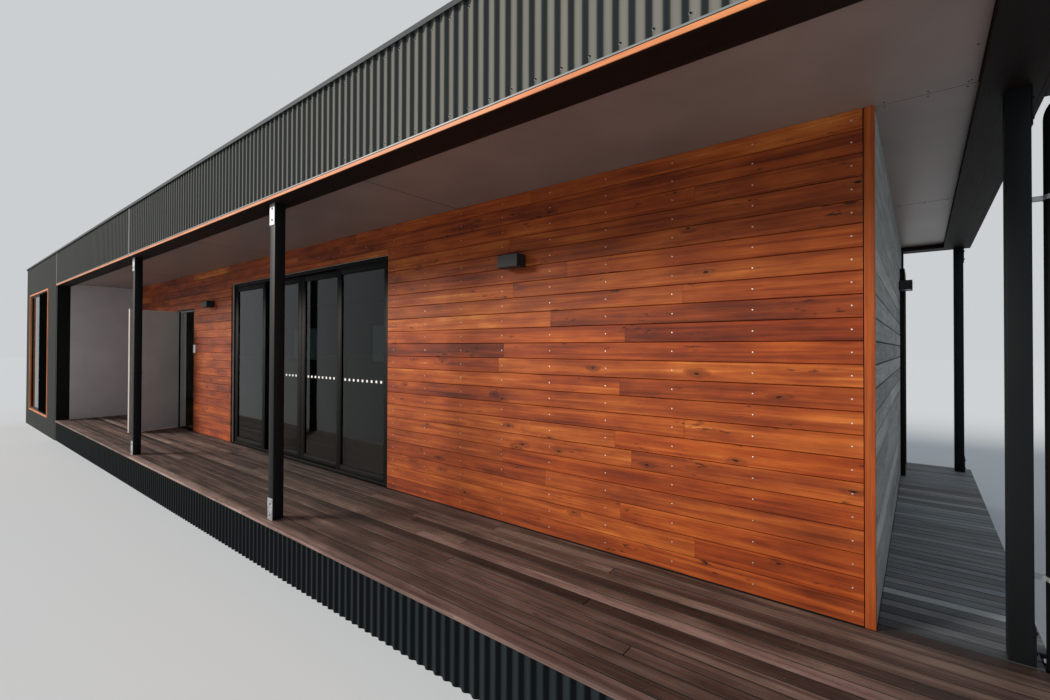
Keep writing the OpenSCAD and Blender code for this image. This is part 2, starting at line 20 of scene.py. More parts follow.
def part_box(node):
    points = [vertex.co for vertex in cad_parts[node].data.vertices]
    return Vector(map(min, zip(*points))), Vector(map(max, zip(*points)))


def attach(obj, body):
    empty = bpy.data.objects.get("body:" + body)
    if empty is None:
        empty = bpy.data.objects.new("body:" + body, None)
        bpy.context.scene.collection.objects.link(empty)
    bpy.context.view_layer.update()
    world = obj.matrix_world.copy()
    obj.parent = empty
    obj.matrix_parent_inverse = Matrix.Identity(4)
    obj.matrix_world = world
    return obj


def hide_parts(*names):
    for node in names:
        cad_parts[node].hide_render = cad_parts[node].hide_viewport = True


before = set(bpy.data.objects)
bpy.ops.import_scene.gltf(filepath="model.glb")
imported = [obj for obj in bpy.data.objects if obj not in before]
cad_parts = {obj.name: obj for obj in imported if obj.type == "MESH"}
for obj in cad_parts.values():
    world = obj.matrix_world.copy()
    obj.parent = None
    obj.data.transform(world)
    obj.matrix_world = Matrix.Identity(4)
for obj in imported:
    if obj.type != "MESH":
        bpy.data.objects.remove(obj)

LOG = logging.getLogger("beach_house")
HOUSE = Vector((8.1465, -1.861, 0.4))
HAIR = 1e-5
JOINT_STRIP = 0.024
REAR_WINDOWS = (-2.9, -7.3, -11.65, -16.1)
REAR_WINDOW_WIDTH = 1.8

Point = tuple[float, float, float]
Plan = tuple[float, float, float, float]
Span = tuple[float, float, float]
Corner = Sequence[float]
Stops = Sequence[tuple[float, str]]
Box = tuple[Vector, Vector]
Piece = bpy.types.Object
Tree = bpy.types.NodeTree
Socket = bpy.types.NodeSocket
Choice = Callable[[Vector], bool]
Spots = list[tuple[float, float]]


class Run(Enum):
    """Direction that a board or the grain of a timber runs in."""

    ALONG_X = 0
    ALONG_Y = 1
    ALONG_Z = 2


class Face(Enum):
    """Sides of the house, each with the turn in degrees of what is drawn to face the front."""

    FRONT = 0
    RIGHT = 90
    REAR = 180
    LEFT = -90


class Body(Enum):
    """Bodies that pieces ride on."""

    HOUSE = "house"
    ENTRY = "entry_door"
    LEFT = "left_sliding_door"
    RIGHT = "right_sliding_door"


# Finishes


def linear(code: str) -> tuple[float, float, float, float]:
    """Turns an sRGB hex colour to the linear colour that shaders take.

    Args:
        code: the colour as six hex digits.

    Returns:
        Red, green, blue and alpha, linear.
    """
    parts = [int(code[i : i + 2], 16) / 255 for i in (0, 2, 4)]
    red, green, blue = (p / 12.92 if p <= 0.04045 else ((p + 0.055) / 1.055) ** 2.4 for p in parts)
    return red, green, blue, 1.0


def wire(node: bpy.types.Node, inputs: dict) -> None:
    """Links a node's inputs to sockets, or sets them to constants.

    Args:
        node: the node.
        inputs: socket names or numbers, each with a socket or a constant.
    """
    for key, value in inputs.items():
        if isinstance(value, Socket):
            node.id_data.links.new(value, node.inputs[key])
        else:
            node.inputs[key].default_value = value


def add_node(tree: Tree, kind: str, inputs: dict | None = None, out: int | str = 0, stops: Stops = (),
             **settings: object) -> Socket:
    """Adds a shader node with its settings, constants and links.

    Args:
        tree: the node tree.
        kind: the node's type name after ShaderNode.
        inputs: socket names or numbers, each with a socket or a constant.
        out: the output wanted.
        stops: positions on a colour ramp with their sRGB hex colours, in order.
        settings: the node's own properties.

    Returns:
        The output wanted.
    """
    node = tree.nodes.new("ShaderNode" + kind)
    for name, value in settings.items():
        setattr(node, name, value)
    if stops:
        elements = node.color_ramp.elements
        for k in (0, -1):
            elements[k].position, elements[k].color = stops[k][0], linear(stops[k][1])
        for position, code in stops[1:-1]:
            elements.new(position).color = linear(code)
    wire(node, inputs or {})
    return node.outputs[out]


@dataclass(frozen=True)
class Finish:
    """What all finishes share: a name, the record's slot, and a material that is built once."""

    name: str
    slot: str

    def material(self) -> bpy.types.Material:
        """Gives the material of this finish, building it at its first use.

        Returns:
            The material.
        """
        found = bpy.data.materials.get(self.name)
        if found:
            return found
        made = bpy.data.materials.new(self.name)
        made.use_nodes = True
        wire(made.node_tree.nodes["Principled BSDF"], self.shade(made.node_tree))
        return made

    def shade(self, tree: Tree) -> dict:
        """Adds the pattern nodes and gives what the surface shader's inputs take."""
        raise NotImplementedError

    def places(self, tree: Tree, scale: Point) -> Socket:
        """Gives Object coordinates, with their repeats for each metre along X, Y and Z."""
        return add_node(tree, "Mapping", {"Vector": add_node(tree, "TexCoord", out="Object"), "Scale": scale})


@dataclass(frozen=True)
class Timber(Finish):
    """Sawn boards with grain along their run, a tone of their own, and a few knots.

    The boards carry an attribute, tint, from 0 to 1, that shifts tone and grain,
    and another, depth, that darkens their sides in the gaps between them, as dirt
    and painted shade. Some boards lean towards the cast colour, which white leaves as it is.
    """

    tones: Stops
    run: Run
    knots: str = "1E0D08"
    knot_share: float = 0.84
    roughness: float = 0.5
    relief: float = 0.25
    streak: float = 0.42
    gloss: float = 0.3
    cast: str = "FFFFFF"
    veins: float = 0.0

    def along(self, length: float, across: float) -> Point:
        """Gives a pattern's repeats for each metre, along and across the grain."""
        return tuple(length if axis == self.run.value else across for axis in range(3))

    def knot_field(self, tree: Tree, turn: Socket) -> list[Socket]:
        """Scatters knots, about two on a square metre of boards, on the flat of the face.

        Args:
            tree: the node tree.
            turn: the board's own shift of every pattern.

        Returns:
            How dark the knot's core is, and how far its swirl bends the growth bands.
        """
        wobble = add_node(tree, "TexNoise", {"Vector": self.places(tree, self.along(9, 26)), "Scale": 1.0,
                                             "Detail": 2.0}, "Color")
        bent = add_node(tree, "VectorMath", {0: wobble, 1: (0.16, 0.16, 0.16),
                                             2: self.places(tree, self.along(2.5, 6.6))}, operation="MULTIPLY_ADD")
        flat = add_node(tree, "SeparateXYZ", {0: bent}).node.outputs
        others = [flat[k] for k in range(3) if k != self.run.value]
        across = add_node(tree, "Math", {0: others[0], 1: others[1]}, operation="ADD")
        length = add_node(tree, "Math", {0: flat[self.run.value], 1: turn}, operation="ADD")
        field = add_node(tree, "CombineXYZ", {0: length, 1: across})
        spots = add_node(tree, "TexVoronoi", {"Vector": field, "Scale": 1.0}, voronoi_dimensions="2D").node.outputs
        chosen = add_node(tree, "SeparateColor", {0: spots["Color"]})
        chosen = add_node(tree, "Math", {0: chosen, 1: self.knot_share}, operation="GREATER_THAN")
        levels = [add_node(tree, "MapRange", {"Value": spots["Distance"], "From Min": near, "From Max": far,
                                              "To Min": 1.0, "To Max": 0.0}, interpolation_type="SMOOTHSTEP")
                  for near, far in ((0.02, 0.07), (0.03, 0.26))]
        return [add_node(tree, "Math", {0: level, 1: chosen}, operation="MULTIPLY") for level in levels]

    def gum_veins(self, tree: Tree, turn: Socket) -> Socket:
        """Scatters clusters of short black flecks along the grain.

        Args:
            tree: the node tree.
            turn: the board's own shift of every pattern.

        Returns:
            How dark the flecks are.
        """
        share = self.veins
        for repeats, low, high in ((self.along(13, 58), 0.58, 0.66), (self.along(3.1, 10), 0.57, 0.66)):
            spread = add_node(tree, "TexNoise", {"Vector": self.places(tree, repeats), "W": turn, "Scale": 1.0,
                                                 "Detail": 2.0}, noise_dimensions="4D")
            level = add_node(tree, "MapRange", {"Value": spread, "From Min": low, "From Max": high})
            share = add_node(tree, "Math", {0: level, 1: share}, operation="MULTIPLY")
        return share

    def shade(self, tree: Tree) -> dict:
        """Lays clouds, growth bands, fibre, knots and gum veins over the board's own tone.

        Args:
            tree: the node tree.

        Returns:
            What the surface shader's inputs take.
        """
        tint = add_node(tree, "Attribute", out="Fac", attribute_name="tint")
        turn = add_node(tree, "Math", {0: tint, 1: 91.0}, operation="MULTIPLY")
        core, swirl = self.knot_field(tree, turn)
        bent = add_node(tree, "Math", {0: swirl, 1: 0.7, 2: turn}, operation="MULTIPLY_ADD")
        # Growth bands 50 mm apart, fibres of 12 mm and less, and clouds some decimetres long
        bands, fibre, cloud = (
            add_node(tree, "TexNoise", {"Vector": self.places(tree, repeats), "W": shift, "Scale": 1.0,
                                        "Detail": detail, "Roughness": rough, "Distortion": bend},
                     noise_dimensions="4D")
            for repeats, shift, detail, rough, bend in (
                (self.along(0.6, 19), bent, 6.0, 0.62, 1.1),
                (self.along(3.2, 85), turn, 6.0, 0.75, 0.0),
                (self.along(2.2, 6), turn, 3.0, 0.55, 0.0)))
        figure = add_node(tree, "Math", {0: bands, 1: 0.6}, operation="MULTIPLY")
        figure = add_node(tree, "Math", {0: cloud, 1: 0.4, 2: figure}, operation="MULTIPLY_ADD")
        figure = add_node(tree, "MapRange", {"Value": figure, "From Min": 0.34, "From Max": 0.66,
                                             "To Min": -self.streak, "To Max": self.streak}, clamp=False)
        tone = add_node(tree, "Math", {0: figure, 1: tint}, operation="ADD")
        colour = add_node(tree, "ValToRGB", {"Fac": tone}, stops=self.tones)
        share = add_node(tree, "TexWhiteNoise", {"W": turn}, "Value", noise_dimensions="1D")
        stain = add_node(tree, "Mix", {"Factor": share, "A": (1, 1, 1, 1), "B": linear(self.cast)}, "Result",
                         data_type="RGBA")
        grain = add_node(tree, "MapRange", {"Value": fibre, "From Min": 0.3, "From Max": 0.7,
                                            "To Min": 0.7, "To Max": 1.16})
        for part in (stain, grain):
            colour = add_node(tree, "VectorMath", {0: colour, 1: part}, operation="MULTIPLY")
        share = add_node(tree, "Math", {0: swirl, 1: 0.36}, operation="MULTIPLY")
        for mark in (core, self.gum_veins(tree, turn)) if self.veins else (core,):
            share = add_node(tree, "Math", {0: mark, 1: share}, operation="MAXIMUM")
        colour = add_node(tree, "Mix", {"Factor": share, "A": colour, "B": linear(self.knots)}, "Result",
                          data_type="RGBA")
        # Dirt and painted shade in the gaps between deck boards, from their rounded edges down
        depth = add_node(tree, "Attribute", out="Fac", attribute_name="depth")
        dirt_and_shade = add_node(tree, "MapRange", {"Value": depth, "From Max": 0.8, "To Min": 1.0, "To Max": 0.12})
        return {
            "Base Color": add_node(tree, "VectorMath", {0: colour, 1: dirt_and_shade}, operation="MULTIPLY"),
            "Roughness": add_node(tree, "MapRange", {"Value": fibre, "To Min": self.roughness - 0.1,
                                                     "To Max": self.roughness + 0.16}),
            "Specular IOR Level": self.gloss,
            "Normal": add_node(tree, "Bump", {"Height": fibre, "Strength": self.relief, "Distance": 0.002}),
        }


@dataclass(frozen=True)
class CoatedSteel(Finish):
    """Factory-painted or powder-coated metal: an even film with faint orange peel, dust and rain marks."""

    colour: str
    dust: str
    roughness: float = 0.42
    grain: float = 0.4
    gloss: float = 0.3
    peel: float = 0.05

    def shade(self, tree: Tree) -> dict:
        """Clouds the film with dust in soft vertical runs and gives it a fine peel.

        Args:
            tree: the node tree.

        Returns:
            What the surface shader's inputs take.
        """
        cloud, fine = (
            add_node(tree, "TexNoise", {"Vector": self.places(tree, repeats), "Scale": 1.0, "Detail": detail,
                                        "Roughness": rough})
            for repeats, detail, rough in (((5.5, 5.5, 0.9), 7.0, 0.6), ((240, 240, 240), 2.0, 0.5)))
        share = add_node(tree, "MapRange", {"Value": cloud, "From Min": 0.38, "From Max": 0.72, "To Max": self.grain})
        return {
            "Base Color": add_node(tree, "Mix", {"Factor": share, "A": linear(self.colour), "B": linear(self.dust)},
                                   "Result", data_type="RGBA"),
            "Roughness": add_node(tree, "MapRange", {"Value": cloud, "To Min": self.roughness - 0.08,
                                                     "To Max": self.roughness + 0.12}),
            "Specular IOR Level": self.gloss,
            "Normal": add_node(tree, "Bump", {"Height": fine, "Strength": self.peel, "Distance": 0.001}),
        }


@dataclass(frozen=True)
class FlankShadedSteel(CoatedSteel):
    """Coated sheet with shade painted on the flanks of its ribs that face along its run, darker than its crests.

    The sheet carries an attribute that is 1 in the middle of those flanks and 0 elsewhere; the painted shade follows
    it.
    """

    # Colour of the painted shade on those flanks
    flank: str = "333839"
    start: float = 0.2
    full: float = 0.75

    def shade(self, tree: Tree) -> dict:
        """Paints shade on the flanks that face along the sheet's run.

        Args:
            tree: the node tree.

        Returns:
            What the surface shader's inputs take.
        """
        inputs = super().shade(tree)
        shaded_flank = add_node(tree, "Attribute", out="Fac", attribute_name="shaded_flank")
        share = add_node(tree, "MapRange", {"Value": shaded_flank, "From Min": self.start, "From Max": self.full},
                         interpolation_type="SMOOTHSTEP")
        inputs["Base Color"] = add_node(tree, "Mix", {"Factor": share, "A": inputs["Base Color"],
                                                      "B": linear(self.flank)}, "Result", data_type="RGBA")
        return inputs


@dataclass(frozen=True)
class BareMetal(Finish):
    """Uncoated metal: hot-dip zinc with its spangle, or steel with a satin brush."""

    light: str
    dark: str
    grain: Point
    roughness: float = 0.42

    def shade(self, tree: Tree) -> dict:
        """Sets crystals or brush lines in tone and roughness.

        Args:
            tree: the node tree.

        Returns:
            What the surface shader's inputs take.
        """
        cells = add_node(tree, "TexVoronoi", {"Vector": self.places(tree, self.grain), "Scale": 1.0}, "Color")
        cell = add_node(tree, "SeparateColor", {0: cells})
        return {
            "Base Color": add_node(tree, "ValToRGB", {"Fac": cell}, stops=((0.0, self.dark), (1.0, self.light))),
            "Roughness": add_node(tree, "MapRange", {"Value": cell, "To Min": self.roughness - 0.1,
                                                     "To Max": self.roughness + 0.1}),
            "Metallic": 0.85,
        }


@dataclass(frozen=True)
class PaintedBoard(Finish):
    """Roller-painted sheet or joinery: matt film, a faint stipple and slight marks from handling."""

    colour: str
    marks: str
    roughness: float = 0.6
    stipple: float = 0.08

    def shade(self, tree: Tree) -> dict:
        """Varies the paint film softly and stipples it.

        Args:
            tree: the node tree.

        Returns:
            What the surface shader's inputs take.
        """
        cloud, roller = (
            add_node(tree, "TexNoise", {"Vector": self.places(tree, (repeats,) * 3), "Scale": 1.0, "Detail": detail,
                                        "Roughness": rough})
            for repeats, detail, rough in ((1.6, 7.0, 0.65), (420, 2.0, 0.5)))
        return {
            "Base Color": add_node(tree, "ValToRGB", {"Fac": cloud}, stops=((0.3, self.marks), (0.62, self.colour))),
            "Roughness": add_node(tree, "MapRange", {"Value": cloud, "To Min": self.roughness - 0.06,
                                                     "To Max": self.roughness + 0.08}),
            "Normal": add_node(tree, "Bump", {"Height": roller, "Strength": self.stipple, "Distance": 0.001}),
        }


@dataclass(frozen=True)
class FloatGlass(Finish):
    """Grey float glass with a green edge and a little dust; some light passes into the rooms."""

    colour: str = "58635F"
    dusty: str = "66716E"
    clear: str = "6F7B78"
    bending: float = 1.3

    def shade(self, tree: Tree) -> dict:
        """Makes the pane clear, and lets shadow rays through as a thin pane does.

        Args:
            tree: the node tree.

        Returns:
            What the surface shader's inputs take.
        """
        dust = add_node(tree, "TexNoise", {"Vector": self.places(tree, (3, 3, 1)), "Scale": 1.0, "Detail": 6.0})
        mix = add_node(tree, "MixShader", {
            0: add_node(tree, "LightPath", out="Is Shadow Ray"), 1: tree.nodes["Principled BSDF"].outputs[0],
            2: add_node(tree, "BsdfTransparent", {"Color": linear(self.clear)})})
        wire(tree.nodes["Material Output"], {"Surface": mix})
        return {
            "Base Color": add_node(tree, "ValToRGB", {"Fac": dust}, stops=((0.3, self.colour), (0.8, self.dusty))),
            "Roughness": add_node(tree, "MapRange", {"Value": dust, "From Min": 0.5, "From Max": 0.9, "To Max": 0.05}),
            "Transmission Weight": 1.0,
            "IOR": self.bending,
        }


WALL_TONES = ((0.0, "451B0D"), (0.3, "733217"), (0.55, "98481E"), (0.8, "B7632A"), (1.0, "D28541"))
SHADE_TONES = ((0.0, "585C5B"), (0.4, "7D8180"), (0.7, "999C9B"), (1.0, "B4B6B4"))
DECK_TONES = ((0.0, "281C18"), (0.3, "43342D"), (0.5, "5D4B42"), (0.75, "7F6C60"), (1.0, "A99688"))
# Blue-grey tones of the side deck: weathered grey, with painted sky light in the blue
SKYLIT_DECK_TONES = ((0.0, "3B4145"), (0.3, "596168"), (0.5, "737D85"), (0.75, "8F9AA1"), (1.0, "B1BABE"))
BATTEN_TONES = ((0.0, "A3562D"), (0.5, "CF7A45"), (1.0, "E69A63"))
DARK_TONES = ((0.0, "140C0A"), (0.5, "1F1411"), (1.0, "2D1D18"))
FLOOR_TONES = ((0.0, "7C5230"), (0.5, "A37347"), (1.0, "BD8D5C"))

# Oiled hardwood, red brown, each board with a tone of its own
WALL_TIMBER = Timber("oiled_hardwood_wall", "cladding_timber", WALL_TONES, Run.ALONG_X, knots="190A06",
                     knot_share=0.79, roughness=0.52, streak=0.36, gloss=0.2, cast="F6DCCB", veins=0.9)
TRIM_TIMBER = Timber("oiled_hardwood_trim", "cladding_timber", WALL_TONES, Run.ALONG_Z, roughness=0.52,
                     knot_share=0.97, streak=0.2, gloss=0.2)
# The same hardwood on the side wall, in grey tones that paint the shade it stands in
SHADOWED_SIDE_WALL_TIMBER = Timber("shade_grey_hardwood_wall", "cladding_timber", SHADE_TONES, Run.ALONG_Y, knots="403B37",
                     roughness=0.66, streak=0.24, gloss=0.12)
# Deck boards that feet and rain have dulled, with dirt and painted shade in their gaps
DECK_TIMBER = Timber("weathered_hardwood_deck", "deck_timber", DECK_TONES, Run.ALONG_X, knots="1B1210",
                     knot_share=0.93, roughness=0.62, relief=0.5, streak=0.34, cast="E0D2DA", veins=0.6)
# The side deck's boards, in tones that paint the sky's light on them over their weathered grey
SKYLIT_DECK_TIMBER = Timber("skylit_grey_hardwood_deck", "deck_timber", SKYLIT_DECK_TONES, Run.ALONG_X, knots="26211F",
                          knot_share=0.95, roughness=0.6, streak=0.26, cast="EBDDD6")
# Planed battens and trims, oiled and paler than the boards
BATTEN_TIMBER = Timber("oiled_hardwood_batten", "batten_timber", BATTEN_TONES, Run.ALONG_X, knot_share=0.97)
WINDOW_TRIM = Timber("oiled_hardwood_window_trim", "batten_timber", BATTEN_TONES, Run.ALONG_Z, knot_share=0.97)
# Laminated beams stained nearly black
BEAM_TIMBER = Timber("stained_beam_timber", "dark_timber", DARK_TONES, Run.ALONG_X, knots="0C0605", roughness=0.6,
                     relief=0.6, gloss=0.14)
SIDE_BEAM_TIMBER = Timber("stained_side_beam_timber", "dark_timber", DARK_TONES, Run.ALONG_Y, knots="0C0605",
                          roughness=0.6, relief=0.6, gloss=0.14)
# Sanded and sealed boards with a soft shine
FLOOR_TIMBER = Timber("sealed_floor_boards", "floor_timber", FLOOR_TONES, Run.ALONG_X, roughness=0.34,
                      knot_share=0.96)
# Roll-formed steel with a baked film: matt, with a little salt and dust in the weather, and with painted shade on one
# flank of each rib
CORRUGATED = FlankShadedSteel("prepainted_corrugated_steel", "corrugated_steel", "6A6B66", "7D7D76", roughness=0.65,
                         grain=0.32, gloss=0.03)
SKIRT_STEEL = FlankShadedSteel("prepainted_skirt_steel", "corrugated_steel", "1B2226", "2D3336", roughness=0.6,
                          gloss=0.05, flank="0D1114")
# The same film on folded flashings, smoother than on the sheets
FLASHING = CoatedSteel("prepainted_flashing_steel", "flashing_steel", "5C6467", "767E80", gloss=0.25)
CAPPING_STEEL = CoatedSteel("prepainted_capping_steel", "flashing_steel", "42484B", "555B5D", roughness=0.55,
                            gloss=0.06)
# A paler film on drips, joint covers and washers: partly a lighter steel, partly painted reflection of the sky on their
# folds
DRIP_STEEL = CoatedSteel("prepainted_drip_steel", "flashing_steel", "747A7C", "898F90")
ROOF_STEEL = CoatedSteel("prepainted_roof_steel", "roof_steel", "5F676C", "7F8688", roughness=0.48)
# Satin and matt powder coat, black, with the peel of a baked powder, and coarser on the lamps
POST_COAT = CoatedSteel("satin_black_post_coat", "black_powdercoat", "101214", "202223", roughness=0.46,
                        grain=0.25, gloss=0.12, peel=0.08)
BLACK_COAT = CoatedSteel("black_powder_coat", "black_powdercoat", "070808", "161717", roughness=0.5, grain=0.25,
                         gloss=0.1, peel=0.08)
LAMP_COAT = CoatedSteel("textured_lamp_coat", "light_body", "1E2022", "3A3C3E", roughness=0.55, grain=0.3, peel=0.3)
# Extruded rubber, dull and black; the same black stands in gaps and joints as painted shade
BLACK_RUBBER_AND_SHADE = CoatedSteel("black_rubber_and_shade_fill", "black_powdercoat", "0A0A0B", "181819", roughness=0.7, grain=0.2,
                     gloss=0.2)
# Woven mesh, too fine to draw: its peel scatters the light as the threads do
FLY_SCREEN = CoatedSteel("woven_fly_screen", "black_powdercoat", "050505", "0D0E0E", roughness=0.9, grain=0.2,
                         gloss=0.0, peel=0.5)
# Zinc crystals 11 mm wide, and brushed or turned steel
ZINC = BareMetal("hot_dip_zinc", "galvanised_steel", "B2B6B8", "8E9395", (90, 90, 90), roughness=0.52)
SATIN_STEEL = BareMetal("satin_stainless_steel", "satin_steel", "C4C4C2", "A9A9A8", (30, 30, 900), roughness=0.34)
DARK_LEVER = BareMetal("dark_satin_lever", "satin_steel", "3A3B3C", "2A2B2C", (30, 30, 900), roughness=0.4)
SCREW_STEEL = BareMetal("stainless_screw_heads", "satin_steel", "D9CEC6", "B9AEA6", (200, 200, 200), roughness=0.4)
DECK_SCREW = BareMetal("dulled_deck_screws", "satin_steel", "8C857D", "6A635C", (200, 200, 200), roughness=0.55)
# Rolled or sprayed paint on sheet, plaster and doors
# The soffit's pale paint, set darker and warmer to paint its shade and the warm light thrown up from the deck
SOFFIT_SHEET = PaintedBoard("painted_fibre_cement", "soffit_sheet", "86766F", "796A64", roughness=0.36, stipple=0.05)
LINING = PaintedBoard("painted_lining_board", "lining_board", "CFCDC8", "C2C0BB")
# A dark sheet under the floor boards: dark to paint the shade where its edge shows through gaps
SLAB_SHADE_SHEET = PaintedBoard("shade_dark_floor_sheet", "lining_board", "2B2A28", "232220", roughness=0.8)
# White paint of the recess wall, set greyer and cooler to paint the shade it stands in
RECESS_SHADE_PAINT = PaintedBoard("matt_recess_shade_paint", "lining_board", "B1AFB1", "A4A2A5", roughness=0.7)
DOOR_PAINT = PaintedBoard("satin_door_paint", "white_paint", "C9C7C3", "BBB9B5", roughness=0.42, stipple=0.04)
# Moulded plastic, and the film of the marks on the glass
WHITE_PLASTIC = PaintedBoard("moulded_white_abs", "white_plastic", "E0DFDB", "D4D3CF", roughness=0.35, stipple=0.03)
FROSTED = PaintedBoard("frosted_marking_film", "white_plastic", "F2F5F4", "E6E9E8", roughness=0.7)
LENS = PaintedBoard("smoked_lamp_lens", "white_plastic", "3B3A38", "302F2D", roughness=0.3, stipple=0.02)
# Grey glass, greener where it is thick
GLASS = FloatGlass("grey_float_glass", "glass")


# Modelling by hand


def clear_selection() -> None:
    """Leaves edit mode and selects nothing."""
    if bpy.context.object and bpy.context.object.mode == "EDIT":
        bpy.ops.object.mode_set(mode="OBJECT")
    bpy.ops.object.select_all(action="DESELECT")


def pick(piece: Piece) -> None:
    """Selects one piece alone and makes it active.

    Args:
        piece: the piece.
    """
    clear_selection()
    piece.select_set(True)
    bpy.context.view_layer.objects.active = piece


def place_all() -> Piece:
    """Applies the place, turn and scale of what is selected, and gives the active piece."""
    bpy.ops.object.transform_apply(location=True, rotation=True, scale=True)
    return bpy.context.object


def choose(piece: Piece, kind: str, wanted: Choice) -> None:
    """Selects the parts of a mesh whose middle is where it is wanted, ready for an edit-mode operator.

    Args:
        piece: the piece, which is left in edit mode.
        kind: VERT, EDGE or FACE.
        wanted: says of a middle point whether its part is taken.
    """
    pick(piece)
    bpy.ops.object.mode_set(mode="EDIT")
    bpy.ops.mesh.select_mode(type=kind)
    bpy.ops.mesh.select_all(action="DESELECT")
    bpy.ops.object.mode_set(mode="OBJECT")
    points = piece.data.vertices
    for part in {"VERT": points, "EDGE": piece.data.edges, "FACE": piece.data.polygons}[kind]:
        if kind == "VERT":
            middle = part.co
        elif kind == "EDGE":
            middle = (points[part.vertices[0]].co + points[part.vertices[1]].co) / 2
        else:
            middle = part.center
        part.select = wanted(middle)
    bpy.ops.object.mode_set(mode="EDIT")


def edited(piece: Piece, kind: str, wanted: Choice, *steps: Callable) -> Piece:
    """Runs edit-mode operators on the parts of a mesh whose middle is where it is wanted.

    Args:
        piece: the piece.
        kind: VERT, EDGE or FACE.
        wanted: says of a middle point whether its part is taken.
        steps: the operators with their settings.

    Returns:
        The piece.
    """
    choose(piece, kind, wanted)
    for step in steps:
        step()
    bpy.ops.object.mode_set(mode="OBJECT")
    return piece


def shifted(piece: Piece, wanted: Choice, move: Corner) -> Piece:
    """Moves the points of a piece that are where it is wanted."""
    return edited(piece, "VERT", wanted, partial(bpy.ops.transform.translate, value=move))


def eased(piece: Piece, wanted: Choice, width: float, steps: int = 1) -> Piece:
    """Bevels the edges of a piece whose middle is where it is wanted."""
    return edited(piece, "EDGE", wanted, partial(bpy.ops.mesh.bevel, offset=width, segments=steps, affect="EDGES"))


def inset(piece: Piece, wanted: Choice, *rims: tuple[float, float]) -> Piece:
    """Insets faces of a piece, once for each rim's width and the depth behind it."""
    return edited(piece, "FACE", wanted, *(partial(bpy.ops.mesh.inset, thickness=t, depth=d) for t, d in rims))


def applied(piece: Piece, kind: str, **settings: object) -> Piece:
    """Adds a modifier of a kind with its settings, and applies it.

    Args:
        piece: the piece.
        kind: the modifier's type.
        settings: its properties.

    Returns:
        The piece.
    """
    change = piece.modifiers.new(kind.lower(), kind)
    for name, value in settings.items():
        setattr(change, name, value)
    pick(piece)
    bpy.ops.object.modifier_apply(modifier=change.name)
    return piece


def block(low: Corner, high: Corner, bevel: float = 0.0, steps: int = 1) -> Piece:
    """Adds a box between two corners and breaks its edges.

    Args:
        low: the lowest corner.
        high: the highest corner.
        bevel: the width of the broken edge, or 0.
        steps: how many faces round the edge.

    Returns:
        The box, its place in its mesh.
    """
    clear_selection()
    low, high = Vector(low), Vector(high)
    bpy.ops.mesh.primitive_cube_add(size=1, location=(low + high) / 2)
    bpy.context.object.scale = high - low
    piece = place_all()
    return eased(piece, lambda p: True, bevel, steps) if bevel else piece


def slabs(plans: Iterable[Plan], foot: float, top: float, bevel: float = 0.0) -> list[Piece]:
    """Adds boxes of one height over plans, each the X and Y of its low and its high corner."""
    return [block((x0, y0, foot), (x1, y1, top), bevel) for x0, y0, x1, y1 in plans]


def plank(low: Corner, high: Corner, run: Run, face: int, ease: float, steps: int = 1) -> Piece:
    """Models a board a metre long, the long edges of its outer face broken.

    Args:
        low: its lowest corner.
        high: its highest corner.
        run: its direction.
        face: the axis that its outer face lies at 0 of.
        ease: the width of the broken edges.
        steps: how many faces round the edge.

    Returns:
        The board.
    """
    return eased(block(low, high), lambda p: abs(p[face]) < HAIR and abs(p[run.value] - 0.5) < HAIR, ease, steps)


def disc(radius: float, deep: float, sides: int = 8, middle: Point = (0, 0, 0), out: Point = (0, 0, 1),
         rim: float = 0.0, rise: float = 0.0) -> Piece:
    """Models the head of a fixing, whose outer face is set in from its rim.

    Args:
        radius: its radius.
        deep: how thick it is.
        sides: faces round it.
        middle: its middle.
        out: where its outer face looks.
        rim: the rim's width, or 0.
        rise: how far the face stands out from the rim.

    Returns:
        The head.
    """
    clear_selection()
    turn = (math.pi / 2 * abs(out[1]), math.pi / 2 * abs(out[0]), 0)
    bpy.ops.mesh.primitive_cylinder_add(vertices=sides, radius=radius, depth=deep, location=middle, rotation=turn)
    piece = place_all()
    face = Vector(middle) @ Vector(out) + deep / 2
    return inset(piece, lambda p: p @ Vector(out) > face - 0.0001, (rim, rise)) if rim else piece


def rod(start: Corner, end: Corner, radius: float, sides: int = 24, bevel: float = 0.0) -> Piece:
    """Adds a round bar between two points, its end edges broken.

    Args:
        start: the middle of one end.
        end: the middle of the other.
        radius: the bar's radius.
        sides: faces round it.
        bevel: width of the broken end edges, or 0.

    Returns:
        The bar, its place in its mesh.
    """
    clear_selection()
    a, b = Vector(start), Vector(end)
    length, axis = (b - a).length, (b - a).normalized()
    bpy.ops.mesh.primitive_cylinder_add(vertices=sides, radius=radius, depth=length, location=(a + b) / 2,
                                        rotation=(b - a).to_track_quat("Z", "Y").to_euler())
    piece = place_all()
    if bevel:
        eased(piece, lambda p: min(abs((p - a) @ axis), abs((p - a) @ axis - length)) < HAIR, bevel, 2)
    return piece


def moved(piece: Piece, move: Corner, turn: float = 0.0) -> Piece:
    """Turns a piece about Z, in degrees, and then moves it."""
    piece.data.transform(Matrix.Translation(Vector(move)) @ Matrix.Rotation(math.radians(turn), 4, "Z"))
    return piece


def copied(piece: Piece, move: Corner = (0, 0, 0), turn: float = 0.0) -> Piece:
    """Copies a piece with a mesh of its own, turned about Z, in degrees, and then moved.

    Args:
        piece: the model.
        move: how far the copy goes.
        turn: its turn in degrees.

    Returns:
        The copy.
    """
    twin = piece.copy()
    twin.data = piece.data.copy()
    bpy.context.scene.collection.objects.link(twin)
    return moved(twin, move, turn)


